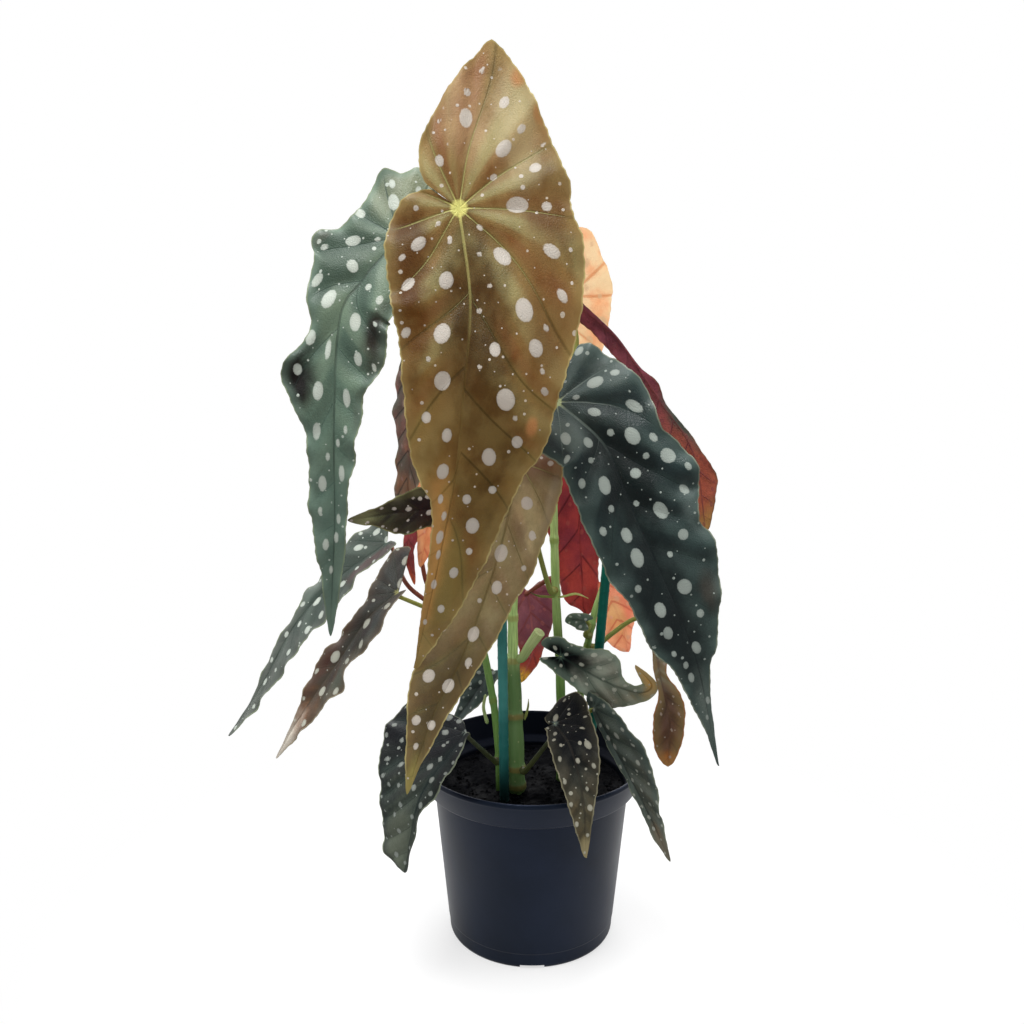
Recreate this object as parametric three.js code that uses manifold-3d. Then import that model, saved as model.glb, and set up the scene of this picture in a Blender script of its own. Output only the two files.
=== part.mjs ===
// Polka dot begonia in a nursery pot, millimetres, +Z up.
// Origin: centre of the flat underside of the pot. The plant's main face looks along -Y.
import * as THREE from "three";
import { mergeVertices } from "three/addons/utils/BufferGeometryUtils.js";
import Module from "manifold-3d";

const wasm = await Module();
wasm.setup();

// ---- driving dimensions ----
const GAP = 0.4; // clearance between pieces that touch
const POT = {
  height: 110,
  rimRadius: 67,
  rimFoot: 62.5, // outer radius at the lower edge of the rim band
  rimBand: 18,
  bandStep: 1.5, // rise of the slope under the rim band
  lip: 0.8, // bevel of the rim's top edge
  bodyTop: 57.6,
  bodyBottom: 49.2,
  footRadius: 47.5,
  corner: 3, // height of the rounded lower corner
  wall: 1.8,
  drains: 4,
  drainLength: 9,
  drainWidth: 14,
  drainHeight: 4, // half of it below the pot's foot
};
const SOIL_TOP = 91;
const SOIL_MOUND = 2.5;
const SOIL_EDGE = 1; // how far the soil's edge is below its top
const STAKE_RADIUS = 2.9;
const BLADE_THICKNESS = 1.2;
const TIP_HALF_WIDTH = 0.4;
const FULL_TURN = 2 * Math.PI;
const NOTCH_TURN = 0.06; // least angle between the two halves of a blade at the notch
const LEAST_TURN = 0.01; // between one row of a lobe and the next
const MARGIN_STEPS = 240;
const STEM_SIDES = 8;
const STAKE_SIDES = 12;
const POT_SEGMENTS = 48;
const SOIL_SEGMENTS = 36;

const COLOURS = {
  pot: { color: 0x262a33, roughness: 0.45, metalness: 0 },
  soil: { color: 0x14110e, roughness: 0.95, metalness: 0 },
  stake: { color: 0x0f5a58, roughness: 0.4, metalness: 0 },
  cane: { color: 0x6f8f3e, roughness: 0.5, metalness: 0 },
  petiole: { color: 0x7d8a3a, roughness: 0.5, metalness: 0 },
  green: { color: 0x26332f, roughness: 0.4, metalness: 0 },
  silver: { color: 0x55695f, roughness: 0.4, metalness: 0 },
  bronze: { color: 0x5f4a26, roughness: 0.45, metalness: 0 },
  red: { color: 0x7d1f22, roughness: 0.5, metalness: 0 },
  peach: { color: 0xd98a5a, roughness: 0.5, metalness: 0 },
};

const vec = (p) => new THREE.Vector3(p[0], p[1], p[2]);
const splineOf = (points) => new THREE.CatmullRomCurve3(points.map(vec), false, "catmullrom", 0.5);

// ---- solids ----
function closedGeometry(vertices, triangles) {
  const geometry = new THREE.BufferGeometry();
  const numbers = vertices.flatMap((v) => v.toArray());
  geometry.setAttribute("position", new THREE.Float32BufferAttribute(numbers, 3));
  geometry.setIndex(triangles.flat());
  geometry.computeVertexNormals();
  return geometry;
}

function toManifold(geometry) {
  const bare = geometry.clone();
  bare.deleteAttribute("normal");
  bare.deleteAttribute("uv");
  const merged = mergeVertices(bare, 1e-3);
  const mesh = new wasm.Mesh({
    numProp: 3,
    vertProperties: new Float32Array(merged.attributes.position.array),
    triVerts: new Uint32Array(merged.index.array),
  });
  return new wasm.Manifold(mesh);
}

function fromManifold(solid) {
  const mesh = solid.getMesh();
  const geometry = new THREE.BufferGeometry();
  geometry.setAttribute("position", new THREE.Float32BufferAttribute(mesh.vertProperties, 3));
  geometry.setIndex(new THREE.Uint32BufferAttribute(mesh.triVerts, 1));
  geometry.computeVertexNormals();
  return geometry;
}

const subtractAll = (geometry, cutters) =>
  fromManifold(cutters.reduce((solid, cutter) => solid.subtract(toManifold(cutter)), toManifold(geometry)));

// A round stem along a curve; radiusAt gives its radius at each fraction of the length.
function stemGeometry(curve, radiusAt, steps, sides = STEM_SIDES) {
  const vertices = [];
  const triangles = [];
  const frames = curve.computeFrenetFrames(steps, false);
  for (let i = 0; i <= steps; i++) {
    const centre = curve.getPointAt(i / steps);
    for (let j = 0; j < sides; j++) {
      const turn = (FULL_TURN * j) / sides;
      const spoke = frames.normals[i].clone().multiplyScalar(Math.cos(turn));
      spoke.addScaledVector(frames.binormals[i], Math.sin(turn));
      vertices.push(centre.clone().addScaledVector(spoke, radiusAt(i / steps)));
    }
  }
  for (let i = 0; i < steps; i++) {
    for (let j = 0; j < sides; j++) {
      const a = i * sides + j;
      const b = i * sides + ((j + 1) % sides);
      triangles.push([a, b, b + sides], [a, b + sides, a + sides]);
    }
  }
  const last = steps * sides;
  for (let j = 1; j < sides - 1; j++) {
    triangles.push([0, j + 1, j], [last, last + j, last + j + 1]);
  }
  return closedGeometry(vertices, triangles);
}

// A leaf's midrib with a frame that is carried along it without turning.
// at(a, b, lift): a runs along the midrib, b across it, lift stands off the upper face.
class LeafSurface {
  constructor({ midrib, side, fold = 4, curl = -0.003 }) {
    this.steps = 48;
    this.fold = THREE.MathUtils.degToRad(fold);
    this.curl = curl;
    const curve = splineOf(midrib);
    this.length = curve.getLength();
    this.points = curve.getSpacedPoints(this.steps);
    this.tangents = this.points.map((_, i) => curve.getTangentAt(i / this.steps));
    this.sides = [];
    let across = vec(side);
    for (const tangent of this.tangents) {
      across = across.clone().addScaledVector(tangent, -across.dot(tangent)).normalize();
      this.sides.push(across);
    }
  }

  at(a, b, lift = 0) {
    const place = (THREE.MathUtils.clamp(a, 0, this.length) / this.length) * this.steps;
    const i = Math.min(Math.floor(place), this.steps - 1);
    const between = (list) => list[i].clone().lerp(list[i + 1], place - i);
    const tangent = between(this.tangents).normalize();
    const across = between(this.sides).normalize();
    const normal = tangent.clone().cross(across);
    const overshoot = a - THREE.MathUtils.clamp(a, 0, this.length);
    const rise = Math.abs(b) * Math.sin(this.fold) + this.curl * b * b + lift;
    return between(this.points)
      .addScaledVector(tangent, overshoot)
      .addScaledVector(across, b * Math.cos(this.fold))
      .addScaledVector(normal, rise);
  }
}

// One half of a margin as rows, each from a point on the midrib out to the margin. The first rows turn
// round the joint from the notch, and the rest cross the midrib at even stations up to the tip.
function halfRows(points, across, lobeRows, stationRows, mostTurn) {
  const split = points.findLastIndex(({ x }) => x <= 0);
  const tip = points.at(-1).x;
  const rows = [];
  let turn = Math.PI / 2;
  for (let k = lobeRows - 1; k >= 0 && split > 0; k--) {
    const { x, y } = points[Math.round((split * k) / lobeRows)];
    const here = (Math.atan2(y * across, x) + FULL_TURN) % FULL_TURN;
    turn = Math.min(Math.max(here, turn + LEAST_TURN), mostTurn);
    const reach = Math.hypot(x, y);
    rows.unshift({ from: 0, a: reach * Math.cos(turn), b: reach * Math.sin(turn) * across });
  }
  const body = points.slice(Math.max(split, 0));
  for (let j = 0; j <= stationRows; j++) {
    const a = (tip * j) / stationRows;
    const next = body.findIndex(({ x }) => x >= a - 1e-6);
    const [p, q] = [body[Math.max(next - 1, 0)], body[next]];
    const width = q.x > p.x ? THREE.MathUtils.mapLinear(a, p.x, q.x, p.y, q.y) : q.y;
    rows.push({ from: a, a, b: Math.max(width * across, TIP_HALF_WIDTH) * across });
  }
  return { rows, turn };
}

// A closed sheet from its upper triangles, where the vertex below vertex n is n + 1.
function sheetTriangles(upper) {
  const edges = new Set(upper.flatMap(([a, b, c]) => [`${a}>${b}`, `${b}>${c}`, `${c}>${a}`]));
  const lower = upper.map(([a, b, c]) => [a + 1, c + 1, b + 1]);
  const walls = [];
  for (const edge of edges) {
    const [from, to] = edge.split(">").map(Number);
    if (!edges.has(`${to}>${from}`)) {
      walls.push([to, from, from + 1], [to, from + 1, to + 1]);
    }
  }
  return [...upper, ...lower, ...walls];
}

// A leaf's blade: an outline in its own plane, laid on the leaf's surface and given a thickness.
function bladeGeometry(surface, outline, mesh = {}) {
  const { lobeRows = 5, stationRows = 12, rings = 2, thickness = BLADE_THICKNESS } = mesh;
  const curve = new THREE.SplineCurve(outline.map(([a, b]) => new THREE.Vector2(a, b)));
  const margin = curve.getSpacedPoints(MARGIN_STEPS);
  const tipAt = margin.reduce((best, { x }, i) => (x > margin[best].x ? i : best), 0);
  const near = halfRows(margin.slice(0, tipAt + 1), -1, lobeRows, stationRows, FULL_TURN);
  const room = FULL_TURN - NOTCH_TURN - near.turn;
  const far = halfRows(margin.slice(tipAt).reverse(), 1, lobeRows, stationRows, room);
  const half = thickness / 2;
  const vertices = [];
  const vertexAt = (a, b) => vertices.push(surface.at(a, b, half), surface.at(a, b, -half)) - 2;
  const spine = new Map();
  for (const { from } of near.rows) {
    if (!spine.has(from)) spine.set(from, vertexAt(from, 0));
  }
  const upper = [];
  for (const [across, { rows }] of [[-1, near], [1, far]]) {
    const lines = rows.map(({ from, a, b }) => {
      const line = [spine.get(from)];
      for (let r = 1; r <= rings; r++) {
        line.push(vertexAt(THREE.MathUtils.lerp(from, a, r / rings), (b * r) / rings));
      }
      return line;
    });
    for (let i = 0; i + 1 < lines.length; i++) {
      for (let r = 0; r < rings; r++) {
        const corners = [lines[i][r], lines[i + 1][r], lines[i + 1][r + 1], lines[i][r + 1]];
        const [a, b, c, d] = across > 0 ? corners : corners.reverse();
        upper.push(...[[a, b, c], [a, c, d]].filter((triangle) => new Set(triangle).size === 3));
      }
    }
  }
  return closedGeometry(vertices, sheetTriangles(upper));
}

// ---- pot and soil ----
// Profiles are [radius, height] pairs, turned round the Z axis.
function turned(profile, segments) {
  const geometry = new THREE.LatheGeometry(profile.map(([r, z]) => new THREE.Vector2(r, z)), segments);
  return geometry.rotateX(Math.PI / 2);
}

const bandFoot = POT.height - POT.rimBand;
const bodyRadiusAt = (z) => THREE.MathUtils.mapLinear(z, POT.corner, bandFoot, POT.bodyBottom, POT.bodyTop);

function potGeometry() {
  const { wall, corner, footRadius, height, rimRadius, rimFoot, lip, bandStep } = POT;
  const roundedCorner = [0.25, 0.5, 0.75].map((share) => {
    const turn = (share * Math.PI) / 2;
    const radius = THREE.MathUtils.lerp(footRadius, POT.bodyBottom, Math.sin(turn));
    return [radius, corner * (1 - Math.cos(turn))];
  });
  const shell = turned(
    [
      [0, 0],
      [footRadius, 0],
      ...roundedCorner,
      [POT.bodyBottom, corner],
      [POT.bodyTop, bandFoot],
      [rimFoot, bandFoot + bandStep],
      [rimRadius, height - 2 * lip],
      [rimRadius - lip, height],
      [rimRadius - wall, height - lip],
      [rimFoot - wall, bandFoot + bandStep + wall],
      [POT.bodyTop - wall, bandFoot + wall / 2],
      [POT.bodyBottom - wall, corner],
      [footRadius - wall, wall],
      [0, wall],
    ],
    POT_SEGMENTS,
  );
  const cutters = [];
  for (let i = 0; i < POT.drains; i++) {
    const cutter = new THREE.BoxGeometry(POT.drainLength, POT.drainWidth, POT.drainHeight);
    cutter.translate(footRadius, 0, 0);
    cutter.rotateZ((FULL_TURN * i) / POT.drains);
    cutters.push(cutter);
  }
  return subtractAll(shell, cutters);
}

function soilGeometry(buried) {
  const inside = (z) => bodyRadiusAt(z) - POT.wall - 2 * GAP;
  const floor = POT.wall + GAP;
  const edge = SOIL_TOP - SOIL_EDGE;
  const levelAt = (share) => SOIL_TOP + SOIL_MOUND * (1 - share ** 2);
  const mound = [0.9, 0.5, 0].map((share) => [inside(edge) * share, levelAt(share)]);
  const plug = turned(
    [[0, floor], [POT.footRadius - POT.wall - 2 * GAP, floor], [inside(POT.corner), POT.corner + GAP],
      [inside(edge), edge], ...mound],
    SOIL_SEGMENTS,
  );
  return subtractAll(plug, buried);
}

// ---- canes and stakes, from the soil up ----
const CANES = {
  cane_main: {
    route: [
      [-8, -16, 74],
      [-9, -15, 118],
      [-10, -10, 147],
      [-11, -8, 171],
      [-11, -6, 215],
      [-11, -6, 250],
      [-12, -8, 300],
      [-14, -10, 350],
      [-18, -14, 384],
    ],
    radii: [4.9, 1.8],
    steps: 16,
  },
  cane_centre: {
    route: [
      [18, 2, 76],
      [17, 0, 150],
      [14, 0, 204],
      [12, 0, 260],
      [11, 2, 320],
      [14, 6, 366],
    ],
    radii: [2.9, 1.8],
    steps: 12,
  },
  cane_left: {
    route: [
      [-18, -14, 76],
      [-20, -12, 127],
      [-26, -12, 169],
      [-36, -15, 215],
      [-45, -19, 262],
      [-50, -22, 310],
      [-52, -23, 348],
    ],
    radii: [2.3, 1.5],
    steps: 12,
  },
  cane_right: {
    route: [
      [24, 10, 76],
      [30, 9, 150],
      [36, 10, 189],
      [44, 12, 216],
      [54, 14, 262],
      [57, 16, 300],
      [55, 18, 338],
    ],
    radii: [2.4, 1.6],
    steps: 12,
  },
};

const STAKES = {
  stake_teal: [
    [-15, -25, 18],
    [-18.5, -26, 335],
  ],
  stake_dark: [
    [28, 0, 20],
    [49.5, 0, 318],
  ],
};

const caneCurves = {};
for (const [name, cane] of Object.entries(CANES)) {
  caneCurves[name] = splineOf(cane.route);
}
const caneRadius = (cane, share) => THREE.MathUtils.lerp(cane.radii[0], cane.radii[1], share);

function caneGeometry(name, extra = 0) {
  const cane = CANES[name];
  return stemGeometry(caneCurves[name], (share) => caneRadius(cane, share) + extra, cane.steps);
}

function stakeGeometry(name, extra = 0) {
  const [foot, head] = STAKES[name].map(vec);
  const away = head.clone().sub(foot).normalize().multiplyScalar(extra);
  const line = new THREE.LineCurve3(foot.sub(away), head);
  return stemGeometry(line, () => STAKE_RADIUS + extra, 1, STAKE_SIDES);
}

// ---- leaves ----
// A wing-shaped outline in the leaf's own plane, for leaves whose blade is mostly turned away.
function wing(length, wide, narrow) {
  const share = [
    [-0.02, -0.25],
    [-0.09, -0.6],
    [0, -0.95],
    [0.2, -1],
    [0.45, -0.8],
    [0.7, -0.45],
    [0.88, -0.15],
    [1, 0],
    [0.86, 0.2],
    [0.65, 0.5],
    [0.4, 0.85],
    [0.15, 1],
    [-0.1, 0.92],
    [-0.22, 0.6],
    [-0.16, 0.2],
    [-0.03, 0],
  ];
  return share.map(([a, b]) => [a * length, b * (b < 0 ? narrow : wide)]);
}

// Each leaf: midrib from the petiole's joint to the tip, the side its wide lobe is on, and its outline.
// The petiole leaves `cane` at height `from` and may pass through `via` points.
const LEAVES = {
  front: {
    finish: "bronze",
    midrib: [
      [-35, -105, 416],
      [-30, -116, 376],
      [-33, -118, 336],
      [-37, -113, 300],
      [-46, -104, 255],
      [-60, -92, 197],
    ],
    side: [1, 0, 0],
    fold: 6,
    outline: [
      [-1, -1.4], [-6, -7], [-10, -12.5], [-9, -20], [-4, -27.5], [12, -35], [43, -35], [67, -30], [86, -27],
      [117, -21], [138, -9], [167, -5], [205, -2], [228, 1], [218, 5], [198, 12], [177, 18],
      [156, 23], [122, 30], [103, 39], [79, 43], [49, 49], [23, 53], [7, 50], [-5, 51], [-19, 47],
      [-41, 41], [-59, 35], [-73, 26], [-74, 21], [-63, 9], [-49, -3], [-37, -10.5], [-27, -15],
      [-14, -14], [-6, -6.5], [-1, -1.2],
    ],
    lobeRows: 9,
    stationRows: 20,
    cane: "cane_main",
    from: 366,
    via: [[-26, -60, 396]],
  },
  left: {
    finish: "silver",
    midrib: [
      [-66, -55, 405],
      [-84, -64, 385],
      [-95, -70, 366],
      [-98, -76, 315],
      [-101, -72, 257],
      [-107, -60, 201],
    ],
    side: [1, 0, 0],
    outline: [
      [-3, -1], [-22, 0], [-36, -6], [-35, -17], [-28, -22], [-21, -31], [-3, -27], [13, -27],
      [24, -34], [38, -24], [57, -14], [77, -28], [90, -23], [112, -14], [141, -13], [162, -10],
      [182, -6], [218, 0], [177, 5], [135, 7], [124, 10], [109, 11], [98, 14], [88, 14], [70, 24],
      [35, 24], [10, 22], [-6, 19], [-14, 10], [-3, 1],
    ],
    lobeRows: 7,
    stationRows: 20,
    cane: "cane_main",
    from: 345,
    via: [[-40, -36, 388]],
  },
  low: {
    finish: "bronze",
    midrib: [
      [-8, -56, 294],
      [-15, -72, 262],
      [-24, -78, 232],
      [-38, -84, 196],
      [-52, -88, 168],
      [-65, -90, 128],
    ],
    side: [1, 0, 0],
    fold: 6,
    outline: [
      [-2, -3], [-14, -8], [-28, -14], [-30, -26], [-14, -34], [10, -35], [38, -32], [66, -28],
      [95, -23], [127, -18], [142, -12], [167, -5], [181, 0], [165, 2], [151, 5], [124, 8],
      [105, 10], [87, 13], [69, 15], [55, 19], [40, 20], [20, 23], [7, 24], [-5, 21], [-10, 13],
      [-3, 2],
    ],
    lobeRows: 7,
    stationRows: 20,
    cane: "cane_centre",
    from: 211,
    via: [
      [5, -14, 231],
      [-3, -38, 268],
    ],
  },
  right: {
    finish: "green",
    midrib: [
      [11, -60, 325],
      [22, -67, 317],
      [34, -73, 306],
      [43, -79, 287],
      [50, -82, 269],
      [61, -83, 245],
      [82, -80, 195],
      [98, -70, 134],
    ],
    side: [1, 0, 0.3],
    fold: 6,
    outline: [
      [-1, -2], [-7, -9], [-6, -20], [4, -27], [15, -26], [24, -24], [40, -26], [61, -26],
      [85, -25], [97, -25], [109, -21], [136, -20], [153, -13], [173, -9], [198, -3], [219, 0],
      [175, 3], [158, 7], [147, 13], [129, 22], [118, 27], [99, 32], [87, 29], [72, 35], [59, 38],
      [44, 33], [36, 29], [24, 36], [5, 36], [-7, 35], [-13, 31], [-11, 25], [-10, 16], [-2, 3],
    ],
    lobeRows: 9,
    stationRows: 20,
    cane: "cane_centre",
    from: 300,
    via: [],
  },
  silver: {
    finish: "silver",
    midrib: [
      [-84, 10, 236],
      [-109, 10, 217],
      [-136, 8, 190],
      [-157, 5, 154],
      [-180, 0, 121],
    ],
    side: [0.45, -0.82, -0.36],
    fold: 10,
    outline: [
      [-2, -3], [-5, -14], [10, -20], [25, -17], [45, -9], [56, -12], [66, -6], [89, -6],
      [108, -5], [129, -1], [152, 0], [134, 8], [116, 11], [98, 16], [77, 18], [58, 20], [39, 17],
      [19, 10], [-4, 8], [-3, 1],
    ],
    cane: "cane_left",
    from: 186,
    via: [
      [-58, -13, 206],
      [-72, -7, 217],
    ],
  },
  bronze: {
    finish: "bronze",
    midrib: [
      [-74, -28, 217],
      [-89, -35, 205],
      [-108, -38, 179],
      [-126, -38, 152],
      [-143, -34, 122],
    ],
    side: [0.45, -0.82, -0.36],
    fold: 10,
    outline: [
      [-4, -3], [-22, -18], [-20, -24], [-10, -24], [2, -19], [17, -10], [39, -9], [51, -12],
      [67, -11], [80, -7], [100, -2], [120, 0], [104, 6], [87, 11], [69, 14], [57, 18], [48, 10],
      [25, 16], [12, 8], [-4, 3],
    ],
    cane: "cane_left",
    from: 196,
    via: [],
  },
  small: {
    finish: "green",
    midrib: [
      [-46, -58, 271],
      [-66, -64, 270],
      [-95, -66, 266],
    ],
    side: [0, 0, -1],
    outline: [
      [-1, -2], [-8, -9], [4, -13], [12, -12], [22, -9], [32, -5], [50, 0], [36, 6], [24, 12], [12, 10],
      [0, 8], [-7, 5], [-1, 1],
    ],
    lobeRows: 4,
    stationRows: 8,
    cane: "cane_left",
    from: 250,
    via: [],
  },
  edge: {
    finish: "silver",
    midrib: [
      [-62, -34, 342],
      [-64, -34, 315],
      [-67, -32, 272],
      [-68, -31, 256],
    ],
    side: [0.6, -0.8, 0],
    outline: [
      [-1, -2], [-7, -9], [0, -13], [14, -17], [32, -16], [50, -12], [64, -15], [74, -13], [82, -4], [85, 0],
      [78, 8], [62, 12], [42, 13], [16, 14], [-6, 13], [-15, 8], [-11, 3], [-2, 0],
    ],
    lobeRows: 4,
    stationRows: 9,
    cane: "cane_left",
    from: 322,
    via: [],
  },
  shade: {
    finish: "red",
    midrib: [
      [25, 15, 372],
      [48, 14, 352],
      [72, 8, 318],
      [90, 0, 290],
      [98, -5, 246],
    ],
    side: [-0.6, 0.3, -0.8],
    fold: 0,
    outline: [
      [-1, -1], [-7, -3], [6, -2], [24, -1], [49, -1], [63, -5], [75, -2], [95, -3], [108, -5],
      [122, -10], [143, -5], [152, 0], [140, 5], [116, 12], [92, 14], [72, 11], [54, 7], [30, 8],
      [8, 7], [-6, 4], [-1, 1],
    ],
    cane: "cane_centre",
    from: 356,
    via: [],
  },
  peach: {
    finish: "peach",
    midrib: [
      [20, 28, 376],
      [24, 34, 350],
      [26, 38, 322],
      [27, 38, 296],
    ],
    side: [-1, 0, 0],
    fold: 3,
    outline: [
      [-2, -4], [-14, -8], [-30, -8], [-38, -3], [-35, -17], [-20, -22], [-4, -26], [14, -23],
      [30, -18], [56, -8], [80, 0], [56, 12], [30, 22], [4, 22], [-10, 16], [-3, 2],
    ],
    cane: "cane_centre",
    from: 326,
    via: [[25, 17, 349]],
  },
  red: {
    finish: "red",
    midrib: [
      [24, 26, 292],
      [28, 30, 250],
      [32, 28, 187],
    ],
    side: [-1, 0, 0],
    outline: [
      [-1, -2], [-10, -6], [-12, -16], [6, -18], [34, -12], [59, -11], [84, -10], [98, -8], [106, -3],
      [102, 3],
      [96, 11], [82, 14], [60, 18], [38, 21], [14, 20], [-4, 14], [-1, 2],
    ],
    cane: "cane_centre",
    from: 272,
    via: [],
  },
  pink: {
    finish: "peach",
    midrib: [
      [44, 38, 204],
      [54, 42, 182],
      [62, 45, 156],
    ],
    side: [-1, 0, -0.5],
    outline: [
      [-1, -2], [-6, -8], [8, -12], [26, -11], [38, -5], [50, 0], [42, 10], [26, 14], [8, 13], [-5, 8],
      [-1, 1],
    ],
    lobeRows: 4,
    stationRows: 8,
    cane: "cane_right",
    from: 186,
    via: [],
  },
  plum: {
    finish: "red",
    midrib: [
      [-2, 26, 202],
      [0, 24, 186],
      [1, 16, 168],
      [-6, 9, 151],
    ],
    side: [-1, 0, 0],
    outline: [
      [-1, -2], [-5, -9], [6, -14], [20, -13], [32, -7], [46, -4], [56, 0], [48, 5], [34, 9], [20, 12],
      [4, 11], [-6, 6], [-1, 1],
    ],
    lobeRows: 4,
    stationRows: 8,
    cane: "cane_centre",
    from: 214,
    via: [],
  },
  orange: {
    finish: "peach",
    midrib: [
      [-54, -6, 290],
      [-58, -4, 258],
      [-64, -3, 224],
    ],
    side: [-1, 0, 0],
    outline: [
      [-1, -2], [-8, -6], [2, -12], [22, -12], [44, -8], [66, 0], [46, 5], [24, 8], [6, 12], [-6, 9],
      [-1, 1],
    ],
    lobeRows: 4,
    stationRows: 8,
    cane: "cane_left",
    from: 268,
    via: [],
  },
  sliver: {
    finish: "red",
    midrib: [
      [-69, 4, 250],
      [-72, 5, 232],
      [-69, 8, 212],
    ],
    side: [-0.7, -0.7, 0],
    outline: [
      [-1, -1], [-4, -6], [8, -8], [26, -4], [39, 0], [28, 2], [12, 3], [-3, 3], [-1, 1],
    ],
    lobeRows: 3,
    stationRows: 7,
    cane: "cane_left",
    from: 200,
    via: [
      [-50, -5, 204],
      [-61, 2, 215],
    ],
  },
  rim_left: {
    finish: "green",
    midrib: [
      [-36, -54, 146],
      [-47, -66, 136],
      [-60, -78, 118],
      [-69, -80, 79],
    ],
    side: [1, 0, 0.3],
    outline: [
      [0, -2], [-5, -6], [-6, -14], [-4, -30], [-3, -46], [6, -48], [18, -47], [36, -37],
      [61, -24], [80, -16], [86, 0], [75, 1], [63, 3], [51, 3], [40, 8], [29, 8], [13, 6], [2, 2],
    ],
    cane: "cane_left",
    from: 112,
    via: [],
  },
  inner: {
    finish: "green",
    midrib: [
      [-25, 8, 158],
      [-34, 6, 144],
      [-46, 2, 128],
    ],
    side: [0.4, -0.5, -0.6],
    outline: [
      [-1, -2], [-5, -8], [6, -10], [20, -7], [38, 0], [22, 6], [8, 8], [-4, 6], [-1, 1],
    ],
    lobeRows: 3,
    stationRows: 7,
    cane: "cane_main",
    from: 138,
    via: [[-15, 8, 148]],
  },
  rim_front: {
    finish: "green",
    midrib: [
      [12, -42, 146],
      [20, -62, 140],
      [26, -74, 117],
      [28, -78, 86],
    ],
    side: [1, 0, 0.3],
    outline: [
      [2, -6], [14, -10], [28, -11], [40, -10], [54, -8], [71, -4], [81, 0], [56, 5], [44, 9],
      [32, 13], [20, 16], [4, 20], [-6, 22], [-13, 20], [-16, 12], [-12, 4], [-7, -3], [-2, -3],
    ],
    cane: "cane_main",
    from: 108,
    via: [],
  },
  rim_right: {
    finish: "green",
    midrib: [
      [34.5, -31, 151],
      [46, -45, 131],
      [58.5, -58, 107],
      [73, -66, 79],
    ],
    side: [0.5, -0.5, 0.6],
    outline: [
      [0, -2], [4, -3], [17, -4], [39, -4], [54, -4], [76, -4], [92, 0], [77, 5], [56, 14],
      [41, 20], [24, 18], [10, 14], [-2, 9], [-9, 2], [-5, -3], [-1, -2],
    ],
    cane: "cane_right",
    from: 122,
    via: [[32, -8, 138]],
  },
  grey: {
    finish: "silver",
    midrib: [
      [16, -22, 178],
      [40, -26, 165],
      [60, -25, 158],
      [67, -26, 163],
      [57, -27, 175],
    ],
    side: [0.2, 0, 1],
    outline: [
      [-1, -3], [-10, -7], [2, -10], [18, -12], [28, -13], [38, -13], [50, -6], [60, -3], [74, 0],
      [64, 4], [52, 5], [44, 4], [37, 6], [30, 15], [20, 17], [12, 13], [2, 10], [-6, 10],
      [-13, 5], [-12, 0], [-2, 1],
    ],
    cane: "cane_centre",
    from: 166,
    via: [],
  },
  brown: {
    finish: "bronze",
    midrib: [
      [66, -28, 195],
      [70, -36, 172],
      [75, -44, 148],
      [74, -48, 125],
    ],
    side: [1, 0, 0],
    outline: [
      [-1, -3], [-6, -6], [8, -2], [22, -3], [34, -3], [48, -9], [62, -9], [71, -5], [75, 0],
      [70, 4], [54, 8], [38, 9], [24, 4], [10, 8], [-4, 6], [-1, 2],
    ],
    lobeRows: 4,
    stationRows: 10,
    cane: "cane_right",
    from: 173,
    via: [
      [48, 13, 180],
      [60, 9, 190],
      [70, -12, 198],
    ],
  },
  curl: {
    finish: "silver",
    midrib: [
      [31, 1.5, 191],
      [25, 1, 192.5],
      [19, 4, 190],
    ],
    side: [0, 0, -1],
    outline: [
      [-1, -1], [-4, -3], [0, -5], [5, -4], [10, -3], [13, 0], [10, 3], [6, 5], [1, 6], [-3, 4], [-1, 1],
    ],
    lobeRows: 3,
    stationRows: 5,
    cane: "cane_right",
    from: 180,
    via: [[34, 7, 187]],
  },
};

// Papery bracts left at the nodes of the canes, from root to point.
const STIPULES = {
  stipule_left: [
    [10, -4, 207],
    [4, -5, 208],
    [-1, -6, 211],
  ],
  stipule_right: [
    [18, -3, 208],
    [25, -4, 209.5],
    [32, -5, 206.5],
  ],
  stipule_back: [
    [28.5, 4, 172],
    [24, 4, 175],
    [19, 4, 178],
  ],
  stipule_low: [
    [-4, -8, 137],
    [-2.5, -8, 142],
    [-1.5, -8, 147],
  ],
};
const STIPULE = { halfWidth: 3, fold: 20, thickness: 0.8 };
const STIPULE_MESH = { lobeRows: 2, stationRows: 5, rings: 1 };

const CUT_SHOOT = {
  route: [
    [-5.4, -11.9, 174],
    [-1.5, -14.5, 181.5],
    [4, -18, 191],
  ],
  radii: [2.5, 3.3],
};
const BUD = {
  route: [
    [-26, -11, 134],
    [-28, -9, 142],
    [-27, -8, 149],
  ],
  radii: [1.1, 0.8],
};
const SHOOT_STEPS = 4;

// A petiole leaves its cane square to it for `outward` mm and comes to its blade from `approach` mm behind.
const PETIOLE = { radius: 1.5, clearance: 0.7, outward: 4, upward: 1.5, approach: 5 };
const PETIOLE_MESH = { stepLength: 9, sides: 6 };

function heightShare(curve, height) {
  let low = 0;
  let high = 1;
  while (high - low > 1e-4) {
    const middle = (low + high) / 2;
    if (curve.getPointAt(middle).z < height) low = middle;
    else high = middle;
  }
  return low;
}

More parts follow.
